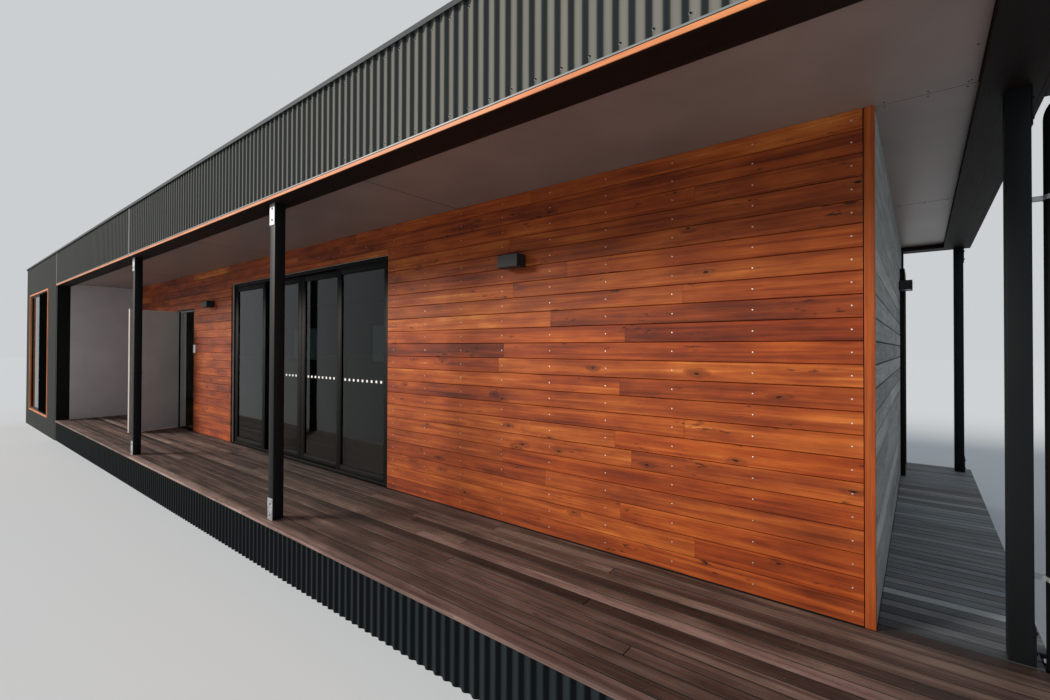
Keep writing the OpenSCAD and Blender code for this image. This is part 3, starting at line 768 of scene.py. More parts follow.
def marked(piece: Piece, name: str, values: Sequence[float]) -> Piece:
    """Writes a number for each point of a piece to an attribute.

    Args:
        piece: the piece.
        name: the attribute's name.
        values: a number for each point.

    Returns:
        The piece.
    """
    layer = piece.data.attributes.get(name) or piece.data.attributes.new(name, "FLOAT", "POINT")
    layer.data.foreach_set("value", values)
    return piece


def tinted(piece: Piece, tint: float) -> Piece:
    """Gives a board its tone, from 0 to 1."""
    return marked(piece, "tint", [tint] * len(piece.data.vertices))


def stretched(piece: Piece, run: Run, length: float, move: Corner, tint: float,
              squeeze: tuple[float, float] | None = None) -> Piece:
    """Copies a board that is one metre long, sets its length, and gives it its own tone.

    Args:
        piece: the board, from 0 to 1 along its run.
        run: its direction.
        length: the length wanted.
        move: where its near lower corner goes.
        tint: its tone, from 0 to 1.
        squeeze: a new foot and top along Z where the board is cut down, or None.

    Returns:
        The new board.
    """
    twin = copied(piece)
    top = max(v.co.z for v in twin.data.vertices)
    for vertex in twin.data.vertices:
        if vertex.co[run.value] > 0.5:
            vertex.co[run.value] += length - 1
        if squeeze:
            vertex.co.z += squeeze[0] if vertex.co.z < top / 2 else squeeze[1] - top
    return tinted(moved(twin, move), tint)


def joined(pieces: Iterable[Piece]) -> Piece:
    """Joins pieces into one mesh.

    Args:
        pieces: the pieces.

    Returns:
        The piece that they make.
    """
    group = list(pieces)
    clear_selection()
    for piece in group:
        piece.select_set(True)
    bpy.context.view_layer.objects.active = group[0]
    if len(group) > 1:
        bpy.ops.object.join()
    return bpy.context.object


def scattered(model: Piece, places: Iterable[Corner]) -> Piece:
    """Joins copies of a model, one at each place, and removes the model.

    Args:
        model: the model.
        places: where its copies go.

    Returns:
        The copies as one piece.
    """
    copies = [copied(model, place) for place in places]
    bpy.data.objects.remove(model)
    return joined(copies)


def settle(piece: Piece, name: str, finish: Finish, body: Body = Body.HOUSE, replaces: Sequence[str] = (),
           smooth: float = 0.0) -> None:
    """Moves a finished piece to the row frame and gives it its finish and body.

    Args:
        piece: the piece in the house's frame.
        name: its name in the object.
        finish: its finish.
        body: the body that it rides on.
        replaces: solids that it stands for.
        smooth: the angle in degrees up to which edges are shaded smooth, or 0.
    """
    pick(piece)
    place_all()
    if smooth:
        bpy.ops.object.shade_smooth_by_angle(angle=math.radians(smooth))
    moved(piece, HOUSE)
    piece.name = piece.data.name = name
    piece.data.materials.clear()
    piece.data.materials.append(finish.material())
    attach(piece, body.value)
    if replaces:
        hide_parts(*replaces)
    piece.select_set(False)
    LOG.info("%s: %d faces", name, len(piece.data.polygons))


def dress(finish: Finish, *nodes: str) -> None:
    """Gives solids from the frame their finish.

    Args:
        finish: the finish.
        nodes: names of the solids.
    """
    for node in nodes:
        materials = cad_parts[node].data.materials
        materials.clear()
        materials.append(finish.material())
        LOG.info("%s dressed with %s", node, finish.name)


def house_box(node: str) -> Box:
    """Gives a solid's lowest and highest corner from the house's own origin."""
    low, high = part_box(node)
    return low - HOUSE, high - HOUSE


def board_lengths(total: float, rng: random.Random, shortest: float, longest: float, step: float) -> list[float]:
    """Cuts a course into boards whose joints fall on studs.

    Args:
        total: the length of the course.
        rng: the source of chance.
        shortest: the shortest board wanted.
        longest: the longest.
        step: the spacing of the studs.

    Returns:
        The lengths, in order.
    """
    lengths: list[float] = []
    left = total
    while left > longest:
        studs = rng.randint(round(shortest / step), round(longest / step))
        length = min(studs * step + (rng.uniform(0.1, 0.9) * step if not lengths else 0.0), left)
        if left - length < shortest:
            length = left - shortest
        lengths.append(length)
        left -= length
    return lengths + [left]


# The house, part by part

# Mean tones of the deck rows that stand out. In front: a light edge row, then a dark and a light row. On the side: dark
# rows near the corner paint its shade, and a light row paints a sheen.
FRONT_LEADS = {0: 0.72, 6: 0.25, 7: 0.8}
SIDE_LEADS = {0: 0.15, 1: 0.2, 2: 0.25, 3: 0.4, 6: 0.95}


@dataclass
class Corrugation:
    """Corrugated sheet, rolled in even waves, its crests towards the weather."""

    pitch: float = 0.0762
    depth: float = 0.016
    sheet: float = 0.002
    steps: int = 10
    phase: float = 0.9

    def waves(self, length: float) -> int:
        """Gives how many whole waves fill a panel of a length."""
        return max(2, round(length / self.pitch))

    def wave(self, pitch: float, height: float) -> Piece:
        """Models one wave of the sheet, standing on X from the origin.

        Args:
            pitch: the wave's width.
            height: the sheet's height.

        Returns:
            The wave, with its crest at Y 0 and its valley behind it, where the phase says.
        """
        clear_selection()
        bpy.ops.mesh.primitive_grid_add(x_subdivisions=self.steps, y_subdivisions=1, size=1,
                                        location=(pitch / 2, 0, height / 2), rotation=(math.pi / 2, 0, 0))
        bpy.context.object.scale = (pitch, height, 1)
        piece = place_all()
        for column in range(self.steps + 1):
            x = pitch * column / self.steps
            back = self.depth / 2 * (1 + math.cos(2 * math.pi * (column / self.steps - self.phase)))
            shifted(piece, lambda p, x=x: abs(p.x - x) < pitch / self.steps / 4, (0, back, 0))
        # Marks the flanks that get painted shade
        return self.mark_shaded_flank(piece, 0, pitch, 1)

    def mark_shaded_flank(self, piece: Piece, start: float, pitch: float, sign: int) -> Piece:
        """Writes how much each point of a sheet lies on a flank that looks along the sheet's run, where shade is
        painted.

        Args:
            piece: the sheet.
            start: where along X its first wave starts.
            pitch: the width of a wave.
            sign: +1 where the run goes along X, or -1.

        Returns:
            The sheet.
        """
        turns = [sign * (v.co.x - start) / pitch - self.phase for v in piece.data.vertices]
        return marked(piece, "shaded_flank", [max(0.0, -math.sin(2 * math.pi * turn)) for turn in turns])

    def valleys(self, length: float) -> list[float]:
        """Gives the middle of each valley along a panel, from its start."""
        count = self.waves(length)
        return [(k + self.phase) * length / count for k in range(count)]

    def panel(self, length: float, height: float) -> Piece:
        """Repeats the wave along a panel and gives the sheet its thickness.

        Args:
            length: the panel's length.
            height: its height.

        Returns:
            The panel, standing on X from the origin.
        """
        count = self.waves(length)
        piece = self.wave(length / count, height)
        applied(piece, "ARRAY", count=count, use_relative_offset=False, use_constant_offset=True,
                 constant_offset_displace=(length / count, 0, 0), use_merge_vertices=True, merge_threshold=0.0004)
        return applied(piece, "SOLIDIFY", thickness=self.sheet, offset=-1.0)


@dataclass
class BoardWalls:
    """Horizontal hardwood boards on the front and the right side, with screws, corner stop and inner lining."""

    pitch: float = 0.126
    first: float = 0.006
    thick: float = 0.02
    gap: float = 0.0035
    side_gap: float = 0.008
    butt: float = 0.0012
    edge: float = 0.003
    stop: float = 0.048
    stud: float = 0.5
    screw: float = 0.0046
    shortest: float = 0.9
    longest: float = 3.6
    wrap_front: float = 0.0003
    wrap_back: float = 0.0016
    lintel_top: float = 2.71
    stop_gap: float = 0.004
    stop_lap: float = 0.01
    seeds: tuple[int, int] = (7, 11)
    tone: tuple[float, float] = (0.52, 0.1)
    screw_in: float = 0.012

    def board_height(self, run: Run) -> float:
        """Gives a board's height; the boards of the side leave wider gaps."""
        return self.pitch - (self.gap if run is Run.ALONG_X else self.side_gap)

    def model_board(self, run: Run) -> Piece:
        """Models one board of the front or, along Y, of the side, whose outer face looks to +X.

        Args:
            run: direction of the wall.

        Returns:
            The board, a metre long.
        """
        high = self.board_height(run)
        if run is Run.ALONG_X:
            return plank((0, 0, 0), (1, self.thick, high), run, 1, self.edge)
        return plank((-self.thick, 0, 0), (0, 1, high), run, 0, self.edge)

    def course_spans(self, low: float, high: float, holes: Sequence[Span], start: float, end: float) -> list[Span]:
        """Splits a course round the openings that it meets.

        Args:
            low: foot of the course.
            high: its top.
            holes: start, end and head of each opening.
            start: where the wall starts.
            end: where it ends.

        Returns:
            Start, end and foot of each stretch.
        """
        spans, at = [], start
        for hole_start, hole_end, head in sorted(holes):
            if low >= head:
                continue
            spans.append((at, hole_start, low))
            if high > head + 0.02:
                spans.append((hole_start, hole_end, head))
            at = hole_end
        spans.append((at, end, low))
        return [s for s in spans if s[1] - s[0] > 0.01]

    def boards(self, run: Run, start: float, end: float, top: float, holes: Sequence[Span],
               seed: int) -> tuple[Piece, Spots]:
        """Lays all courses of a wall.

        Args:
            run: direction of the wall.
            start: where the boards start along it.
            end: where they end.
            top: underside of the soffit.
            holes: start, end and head of each opening.
            seed: seed of the joints and tones.

        Returns:
            The boards as one piece, and place and height of each screw.
        """
        rng = random.Random(seed)
        model, high = self.model_board(run), self.board_height(run)
        studs = [end - 0.05 - self.stud * k for k in range(60)]
        laid, screws = [], []
        for course in range(1 + int((top - 0.02 - self.first) / self.pitch)):
            low = self.first + course * self.pitch
            for a, b, foot in self.course_spans(low, min(low + self.pitch, top), holes, start, end):
                at = a
                for length in board_lengths(b - a, rng, self.shortest, self.longest, self.stud):
                    cut_top = min(low + high, top) - foot
                    squeeze = (foot - low, min(low + high, top) - low) if cut_top < high - 1e-6 else None
                    tone = min(0.95, max(0.1, rng.gauss(*self.tone)))
                    near = at + self.butt / 2
                    move = (near, 0, low) if run is Run.ALONG_X else (0, near, low)
                    laid.append(stretched(model, run, length - self.butt, move, tone, squeeze))
                    for place in studs:
                        if at + self.screw_in < place < at + length - self.screw_in and cut_top > 0.05:
                            screws.append((place, foot + cut_top / 2 + rng.uniform(-0.002, 0.002)))
                    at += length
        bpy.data.objects.remove(model)
        return joined(laid), screws

    def screw_heads(self, run: Run, places: Iterable[tuple[float, float]]) -> Piece:
        """Sets a domed screw head at each place along the wall and height.

        Args:
            run: direction of the wall.
            places: where along it, and how high, each goes.

        Returns:
            The heads as one piece.
        """
        out = (0, -1, 0) if run is Run.ALONG_X else (1, 0, 0)
        model = disc(self.screw, 0.002, out=out, rim=0.0014, rise=0.0006)
        return scattered(model, ((a, 0.0004, z) if run is Run.ALONG_X else (-0.0004, a, z) for a, z in places))

    def build(self) -> None:
        """Builds the front and the side, and replaces the plain walls."""
        left, middle, right = (house_box(f"{name}_front_wall") for name in ("left", "middle", "right"))
        side, window = house_box("side_wall"), house_box("side_window")
        top, deep, rear_end = right[1].z, right[1].y, house_box("rear_wall")[0].y
        holes = [(left[1].x, middle[0].x, house_box("entry_lining")[1].z),
                 (middle[1].x, right[0].x, house_box("slider_frame")[1].z)]
        front = self.boards(Run.ALONG_X, left[0].x, -self.stop - self.stop_gap, top, holes, self.seeds[0])
        settle(front[0], "front_boards", WALL_TIMBER,
               replaces=("right_front_wall", "middle_front_wall", "left_front_wall", "head_walls"))
        settle(self.screw_heads(Run.ALONG_X, front[1]), "front_board_screws", SCREW_STEEL, smooth=40)
        flank = self.boards(Run.ALONG_Y, self.thick + self.stop_lap + 0.001, rear_end, top,
                            [(window[0].y, rear_end, window[1].z)], self.seeds[1])
        settle(flank[0], "side_boards", SHADOWED_SIDE_WALL_TIMBER, replaces=("side_wall",))
        settle(self.screw_heads(Run.ALONG_Y, flank[1]), "side_board_screws", SCREW_STEEL, smooth=40)
        corner = block((-self.stop, 0, 0), (0, self.thick + self.stop_lap, top), 0.0025, 2)
        settle(tinted(corner, 0.56), "corner_stop", TRIM_TIMBER)
        # A black wrap behind the boards, which paints the shade in their gaps, and the lined wall behind that
        near, inner = self.thick + self.wrap_front, self.thick + self.wrap_back
        far = inner - self.wrap_front
        spans = [(middle[0].x, middle[1].x, 0), (left[0].x, left[1].x, 0), *holes]
        wraps = [block((a, near, foot), (b, far, top)) for a, b, foot in [(right[0].x, -far, 0), *spans]]
        wraps += [block((-far, far + 0.0001, 0), (-near, window[0].y, top)),
                  block((-far, window[0].y, window[1].z), (-near, rear_end, top))]
        settle(joined(wraps), "wall_wrap", BLACK_RUBBER_AND_SHADE)
        core = [block((a, inner, foot), (b, deep, top)) for a, b, foot in [(right[0].x, -inner, 0), *spans]]
        core += [block((side[0].x, deep, 0), (-inner, side[1].y, top)),
                 block((side[0].x, window[0].y, window[1].z), (-inner, rear_end, self.lintel_top))]
        settle(joined(core), "wall_lining", LINING)
        # Black strips at the foot of the boards paint the shade in the gap over the deck
        strip, back = self.first - 0.0005, 0.006
        base = slabs([(a.x, back, min(b.x, -back), self.thick) for a, b in (left, middle, right)], 0, strip)
        base += slabs([(-self.thick, self.thick + 0.0005, -back, window[0].y)], 0, strip)
        settle(joined(base), "base_strips", BLACK_RUBBER_AND_SHADE)


@dataclass
class Decking:
    """Hardwood deck boards across the front and round the side, screwed to the joists."""

    pitch: float = 0.0911
    gap: float = 0.007
    butt: float = 0.005
    thick: float = 0.022
    edge: float = 0.003
    joist: float = 0.45
    screw: float = 0.0038
    spread: float = 0.12
    notch: float = 0.009
    joist_in: float = 0.06
    screw_in: float = 0.025
    screw_row: float = 0.02
    front_seed: int = 3
    front_range: tuple[float, float] = (1.2, 4.5)
    side_seed: int = 5
    side_range: tuple[float, float] = (0.5, 1.0)

    def mark_gap_shade(self, piece: Piece, front: float = -math.inf) -> Piece:
        """Writes how deep each point of a board lies, in radii of its edge, but not in front of a line; it sets the
        dirt and painted shade of the gaps.
        """
        return marked(piece, "depth", [-v.co.z / self.edge if v.co.y > front else 0.0 for v in piece.data.vertices])

    def rows(self, box: Box, seed: int, lengths: tuple[float, float],
             leads: dict[int, float]) -> tuple[list[Piece], Spots]:
        """Lays rows of boards along X over a deck.

        Args:
            box: the deck's corners.
            seed: seed of the joints and tones.
            lengths: the shortest and the longest board.
            leads: the mean tone of some rows; that of the others is 0.5.

        Returns:
            The boards, and the place of each screw.
        """
        (start, first, _), (end, last, _) = box
        rng = random.Random(seed)
        model = plank((0, 0, -self.thick), (1, self.pitch - self.gap, 0), Run.ALONG_X, 2, self.edge, 2)
        self.mark_gap_shade(model)
        joists = [end - self.joist_in - self.joist * k for k in range(40)]
        laid, screws = [], []
        count = round((last - first) / self.pitch)
        for row in range(count):
            y, x = first + row * (last - first) / count, start
            for length in board_lengths(end - start, rng, *lengths, self.joist):
                tone = min(1.0, max(0.0, rng.gauss(leads.get(row, 0.5), self.spread)))
                place = (x + self.butt / 2, y + self.gap / 2, 0)
                laid.append(stretched(model, Run.ALONG_X, length - self.butt, place, tone))
                if not row:
                    self.mark_gap_shade(laid[-1], y + self.pitch / 2)
                places = [p for p in joists if x + 0.03 < p < x + length - 0.03]
                for at in places + [x + self.screw_in, x + length - self.screw_in]:
                    screws += [(at, y + self.screw_row), (at, y + self.pitch - self.screw_row)]
                x += length
        bpy.data.objects.remove(model)
        return laid, screws

    def build(self) -> None:
        """Builds both decks and replaces the plain slabs."""
        laid, screws = self.rows(house_box("front_deck"), self.front_seed, self.front_range, FRONT_LEADS)
        settle(joined(laid), "front_deck_boards", DECK_TIMBER, replaces=("front_deck",))
        side, pipe = house_box("side_deck"), house_box("downpipe")
        laid, more = self.rows(side, self.side_seed, self.side_range, SIDE_LEADS)
        # The boards are notched round the downpipe, and the first row, in the shelter of the house, takes the front
        # deck's darker tones as painted shade
        first, others = [], []
        for board in laid:
            points = board.data.vertices
            y = sum(v.co.y for v in points) / len(points)
            if pipe[0].y - 0.05 < y < pipe[1].y + 0.05:
                for vertex in points:
                    vertex.co.x = min(vertex.co.x, pipe[0].x - self.notch)
            (first if y < side[0].y + self.pitch else others).append(board)
        settle(joined(first), "sheltered_deck_boards", DECK_TIMBER)
        settle(joined(others), "side_deck_boards", SKYLIT_DECK_TIMBER, replaces=("side_deck",))
        screws += [(x, y) for x, y in more if x < pipe[0].x - 0.02 or not pipe[0].y - 0.1 < y < pipe[1].y + 0.1]
        model = disc(self.screw, 0.002, middle=(0, 0, -0.0006), rim=0.0012, rise=-0.0005)
        settle(scattered(model, ((x, y, 0) for x, y in screws)), "deck_screws", DECK_SCREW)


@dataclass
class SteelCladding:
    """Corrugated steel on the fascia, wing, rear, left end and skirts, with its flashings and screws."""

    sheet: Corrugation
    screw: float = 0.0052
    washer: float = 0.009
    corner: float = 0.04
    trim: float = 0.0012
    drip: float = 0.0115
    drip_out: float = 0.002
    drip_leg: float = 0.02
    foam: float = 0.0018
    foam_out: float = 0.0006
    screw_row: float = 0.052
    top_row: float = 0.05
    pipe_gap: float = 0.01
    skirt_end: float = 0.02

    def on(self, face: Face, low: Corner, high: Corner) -> Piece:
        """Sets a panel on one face of a box.

        Args:
            face: the face.
            low: the box's lowest corner.
            high: its highest corner.

        Returns:
            The panel.
        """
        (x0, y0, z0), (x1, y1, z1) = low, high
        length = x1 - x0 if face in (Face.FRONT, Face.REAR) else y1 - y0
        start = {Face.FRONT: (x0, y0), Face.RIGHT: (x1, y0), Face.REAR: (x1, y1), Face.LEFT: (x0, y1)}[face]
        return moved(self.sheet.panel(length, z1 - z0), (*start, z0), face.value)

    def opened(self, face: Face, box: Box, spans: Iterable[tuple[float, float]], foot: float, head: float) -> Piece:
        """Sets a panel on the front or the rear of a box, and cuts window openings through it.

        Args:
            face: the face.
            box: the box.
            spans: where each opening starts and ends along X.
            foot: the openings' foot.
            head: their head.

        Returns:
            The panel with its openings.
        """
        (x0, near, _), (x1, far, _) = box
        piece, y = self.on(face, *box), near if face is Face.FRONT else far
        for start, end in spans:
            tool = block((start, y - 0.1, foot), (end, y + 0.1, head))
            applied(piece, "BOOLEAN", object=tool, operation="DIFFERENCE", solver="EXACT")
            bpy.data.objects.remove(tool)
        start, sign = (x0, 1) if face is Face.FRONT else (x1, -1)
        # Marks the flanks that get painted shade
        return self.sheet.mark_shaded_flank(piece, start, (x1 - x0) / self.sheet.waves(x1 - x0), sign)

    def corner_post(self, x: float, y: float, z0: float, z1: float, sx: int, sy: int) -> Piece:
        """Folds a corner flashing, its two legs over the ends of the sheets.

        Args:
            x: the outer corner along X.
            y: the outer corner along Y.
            z0: its foot.
            z1: its top.
            sx: +1 where the house lies at higher X, or -1.
            sy: +1 where the house lies at higher Y, or -1.

        Returns:
            The flashing.
        """
        leg, t = self.corner, self.trim
        plans = []
        for along_x, along_y in ((leg, 0), (0, leg)):
            xs, ys = sorted((x - sx * t, x + sx * along_x)), sorted((y - sy * t, y + sy * along_y))
            plans.append((xs[0], ys[0], xs[1], ys[1]))
        return joined(slabs(plans, z0, z1, 0.0004))

    def build(self) -> None:
        """Builds every sheet and flashing and replaces the plain cladding."""
        fascia, side, wing, rear, end, skirt, (low, high) = map(house_box, (
            "front_fascia", "side_fascia", "wing_cladding", "rear_cladding", "end_cladding", "front_skirt",
            "side_skirt"))
        joint, pipe = house_box("joint_strips")[1].x, house_box("downpipe")
        tall, windows = house_box("tall_window"), house_box("rear_windows")
        for name, solid, finish, panels in (
                ("front_fascia_sheet", "front_fascia", CORRUGATED, [
                    self.on(Face.FRONT, fascia[0], (joint - JOINT_STRIP, *fascia[1].yz)),
                    self.on(Face.FRONT, (joint, *fascia[0].yz), fascia[1])]),
                ("side_fascia_sheet", "side_fascia", CORRUGATED, [
                    self.on(Face.RIGHT, *side), self.on(Face.REAR, side[0], (fascia[1].x, *side[1].yz))]),
                ("wing_sheet", "wing_cladding", CORRUGATED, [
                    self.opened(Face.FRONT, wing, [(tall[0].x, tall[1].x)], 0, tall[1].z)]),
                ("rear_sheet", "rear_cladding", CORRUGATED, [
                    self.opened(Face.REAR, rear, [(x, x + REAR_WINDOW_WIDTH) for x in REAR_WINDOWS],
                                windows[0].z, windows[1].z)]),
                ("end_sheet", "end_cladding", CORRUGATED, [self.on(Face.LEFT, *end)]),
                ("front_skirt_sheet", "front_skirt", SKIRT_STEEL, [
                    self.on(Face.FRONT, skirt[0], (skirt[1].x + self.skirt_end, *skirt[1].yz))]),
                ("side_skirt_sheet", "side_skirt", SKIRT_STEEL, [
                    self.on(Face.RIGHT, low, (high.x, pipe[0].y - self.pipe_gap, high.z)),
                    self.on(Face.RIGHT, (low.x, pipe[1].y + self.pipe_gap, low.z), high),
                    self.on(Face.REAR, low, high)])):
            settle(joined(panels), name, finish, replaces=(solid,), smooth=50)
        self.trims()

    def trims(self) -> None:
        """Folds the flashings and sets the fascia's screws."""
        fascia, side, wing, rear, skirt, flank = map(house_box, (
            "front_fascia", "side_fascia", "wing_cladding", "rear_cladding", "front_skirt", "side_skirt"))
        foot, top, near, right = fascia[0].z, fascia[1].z, fascia[0].y, side[1].x
        corners = [self.corner_post(*place) for place in (
            (right, near, foot, top, -1, 1), (right, side[1].y, side[0].z, top, -1, -1),
            (wing[0].x, wing[0].y, wing[0].z, top, 1, 1), (wing[0].x, rear[1].y, rear[0].z, top, 1, -1),
            (flank[1].x, skirt[0].y, skirt[0].z, skirt[1].z, -1, 1),
            (flank[1].x, flank[1].y, flank[0].z, flank[1].z, -1, -1))]
        settle(joined(corners), "cladding_flashings", FLASHING)
        # Black foam closure strips under the drips, whose black also paints the shadow gap below them
        leg, lift = self.drip_leg, foot + self.foam
        for name, finish, out, low, high, bevel in (
                ("drip_flashings", DRIP_STEEL, self.drip_out, lift, foot + self.drip, 0.0006),
                ("closure_strips", BLACK_RUBBER_AND_SHADE, self.foam_out, foot, lift + 0.0002, 0.0)):
            plans = [(fascia[0].x, near - out, right, near + leg), (right - leg, near, right + out, side[1].y)]
            settle(joined(slabs(plans, low, high, bevel)), name, finish)
        joint, face = house_box("joint_strips")[1].x, near + self.sheet.depth
        places = [(start + x, face, z) for start, end in ((fascia[0].x, joint - JOINT_STRIP), (joint, fascia[1].x))
                  for x in self.sheet.valleys(end - start)[-2::-2] for z in (foot + self.screw_row, top - self.top_row)]
        for name, finish, radius, sides, high, out in (
                ("fascia_washers", DRIP_STEEL, self.washer, 12, 0.0012, 0.0),
                ("fascia_screws", BLACK_COAT, self.screw, 6, 0.004, 0.0018)):
            model = disc(radius, 0.001, sides, (0, -0.0005, 0), (0, -1, 0), radius * 0.15, high)
            settle(scattered(model, ((x, y - out, z) for x, y, z in places)), name, finish)


@dataclass
class RoofWork:
    """Corrugated roof behind the parapet, its capping, the soffit sheets, battens and beams."""

    sheet: Corrugation
    fall: float = 0.1
    lip: float = 0.022
    metal: float = 0.0016
    skin: float = 0.0004
    lap: float = 0.018
    soffit_joint: float = 0.008
    batten: float = 0.005
    side_batten: float = 0.025
    sheet_length: float = 3.57
    # Thickness of the black backing, which paints the shade in the sheets' joints
    backing: float = 0.002
    screw_in: float = 0.03
    screw_rows: tuple[float, ...] = (0.05, 0.35, 0.7)
    side_joints: tuple[float, float] = (0.03, 2.38)

    def roof(self) -> Piece:
        """Lays the sheet with its ribs down the fall, over the solid of the roof.

        Returns:
            The roof.
        """
        low, high = house_box("roof")
        depth = high.y - low.y
        under = shifted(block(low, (high.x, high.y, high.z - self.sheet.depth - 0.003)),
                        lambda p: p.z > low.z + 0.1 and p.y > high.y - 0.01, (0, 0, -self.fall))
        ribs = self.sheet.panel(high.x - low.x, depth)
        ribs.data.transform(Matrix.Translation((low.x, low.y, high.z)) @ Matrix.Rotation(-math.pi / 2, 4, "X"))
        for vertex in ribs.data.vertices:
            vertex.co.z -= self.fall * (vertex.co.y - low.y) / depth
        return joined([under, ribs])

    def capping(self) -> Piece:
        """Folds the capping: a flat top with turned-down lips on both sides.

        Returns:
            The capping.
        """
        low, high = house_box("capping")
        inner = house_box("roof")
        a, b = [v + self.lap for v in inner[0].xy], [v - self.lap for v in inner[1].xy]
        x0, y0, x1, y1 = low.x + self.skin, low.y + self.skin, high.x - self.skin, high.y - self.skin
        plates = slabs([(x0, y0, x1, a[1]), (x0, b[1], x1, y1), (x0, a[1], a[0], b[1]), (b[0], a[1], x1, b[1])],
                       low.z, high.z, 0.001)
        t = self.metal
        lips = slabs([(low.x, low.y, high.x, low.y + t), (low.x, high.y - t, high.x, high.y),
                      (low.x, low.y, low.x + t, high.y), (high.x - t, low.y, high.x, high.y)],
                     low.z - self.lip, high.z - 0.0006, 0.0004)
        return joined(plates + lips)

    def soffit(self, low: Corner, high: Corner, cuts: Sequence[float], run: Run) -> list[Piece]:
        """Fixes soffit sheets with open joints.

        Args:
            low: lowest corner of the soffit.
            high: highest corner.
            cuts: where the joints are along the run.
            run: direction that the sheets follow one another in.

        Returns:
            The sheets.
        """
        edges = [low[run.value], *cuts, high[run.value]]
        sheets = []
        for a, b in zip(edges, edges[1:]):
            near, far = list(low), list(high)
            near[run.value], far[run.value] = a + self.soffit_joint / 2, b - self.soffit_joint / 2
            far[2] -= self.backing + 0.0005
            sheets.append(block(near, far, 0.0015))
        return sheets

    def soffits(self) -> None:
        """Lays the soffit sheets with a black backing that paints the shade in their joints, and painted screws."""
        low, high = house_box("front_soffit")
        side_low, side_high = house_box("side_soffit")
        split, last = self.side_joints
        count = round((high.x - low.x) / self.sheet_length)
        cuts = [high.x - (k + 1) * self.sheet_length for k in range(count - 1)][::-1]
        sheets = self.soffit(low, (high.x, split, high.z), cuts, Run.ALONG_X)
        sheets += self.soffit((side_low.x, split, low.z), side_high, [last], Run.ALONG_Y)
        settle(joined(sheets), "soffit_sheets", SOFFIT_SHEET, replaces=("front_soffit", "side_soffit"))
        # A black backing over the sheets paints the shade in their open joints
        half, foot, back = self.soffit_joint / 2, low.z + 0.0008, high.z - self.backing
        core = [block((low.x, low.y, back), (high.x, split, high.z)), block((side_low.x, split, back), side_high)]
        core += slabs([(x - half, low.y, x + half, split) for x in cuts], foot, back)
        core += slabs([(side_low.x, y - half, side_high.x, y + half) for y in self.side_joints], foot, back)
        settle(joined(core), "soffit_joint_shade", BLACK_RUBBER_AND_SHADE)
        beside, rows = (-self.screw_in, self.screw_in), [low.y + row for row in self.screw_rows]
        places = [(x + d, y) for x in [low.x, *cuts, high.x] for d in beside
                  for y in (*rows, split - 0.04) if low.x < x + d < high.x]
        places += [(x, y + d) for y in (split, last, side_high.y) for d in beside
                   for x in (0.04, 0.22, side_high.x - 0.04) if y + d < side_high.y]
        model = disc(0.0042, 0.002, out=(0, 0, -1), rim=0.0015, rise=0.0004)
        settle(scattered(model, ((x, y, low.z - 0.0004) for x, y in places)), "soffit_screws", BLACK_COAT)

    def battens(self) -> None:
        """Fixes the battens under the fascia, with a dark block behind the front one that paints the shade under it."""
        low, high = house_box("fascia_batten")
        face, wide = low.y + self.batten, self.side_batten
        front = block(low, (high.x, face, high.z), 0.0015)
        settle(tinted(front, 0.62), "front_batten", BATTEN_TIMBER, replaces=("fascia_batten",))
        # A dark block behind the thin front strip paints the shade under the batten
        shade_block = block((low.x, face + 0.0002, low.z + 0.0004), (high.x, house_box("front_beam")[0].y, high.z))
        settle(tinted(shade_block, 0.4), "batten_shade_block", BEAM_TIMBER)
        flank = joined(slabs([(high.x - wide, low.y + wide + 0.0002, high.x, high.y),
                              (0, high.y - wide, high.x - wide - 0.0002, high.y)], low.z, high.z, 0.002))
        settle(tinted(flank, 0.5), "side_batten", SIDE_BEAM_TIMBER)

    def build(self) -> None:
        """Builds the roof's pieces and dresses its beams."""
        settle(self.roof(), "roof_sheet", ROOF_STEEL, replaces=("roof",), smooth=50)
        settle(self.capping(), "parapet_capping", CAPPING_STEEL, replaces=("capping",))
        self.soffits()
        self.battens()
        low, high = house_box("joint_strips")
        covers = slabs([(x, low.y - 0.0012, x + JOINT_STRIP, high.y) for x in (low.x, high.x - JOINT_STRIP)],
                       low.z, high.z, 0.001)
        settle(joined(covers), "joint_covers", DRIP_STEEL, replaces=("joint_strips",))
        dress(BEAM_TIMBER, "front_beam", "rear_beam")
        dress(SIDE_BEAM_TIMBER, "side_beam", "end_beam")
        dress(LINING, "ceiling")


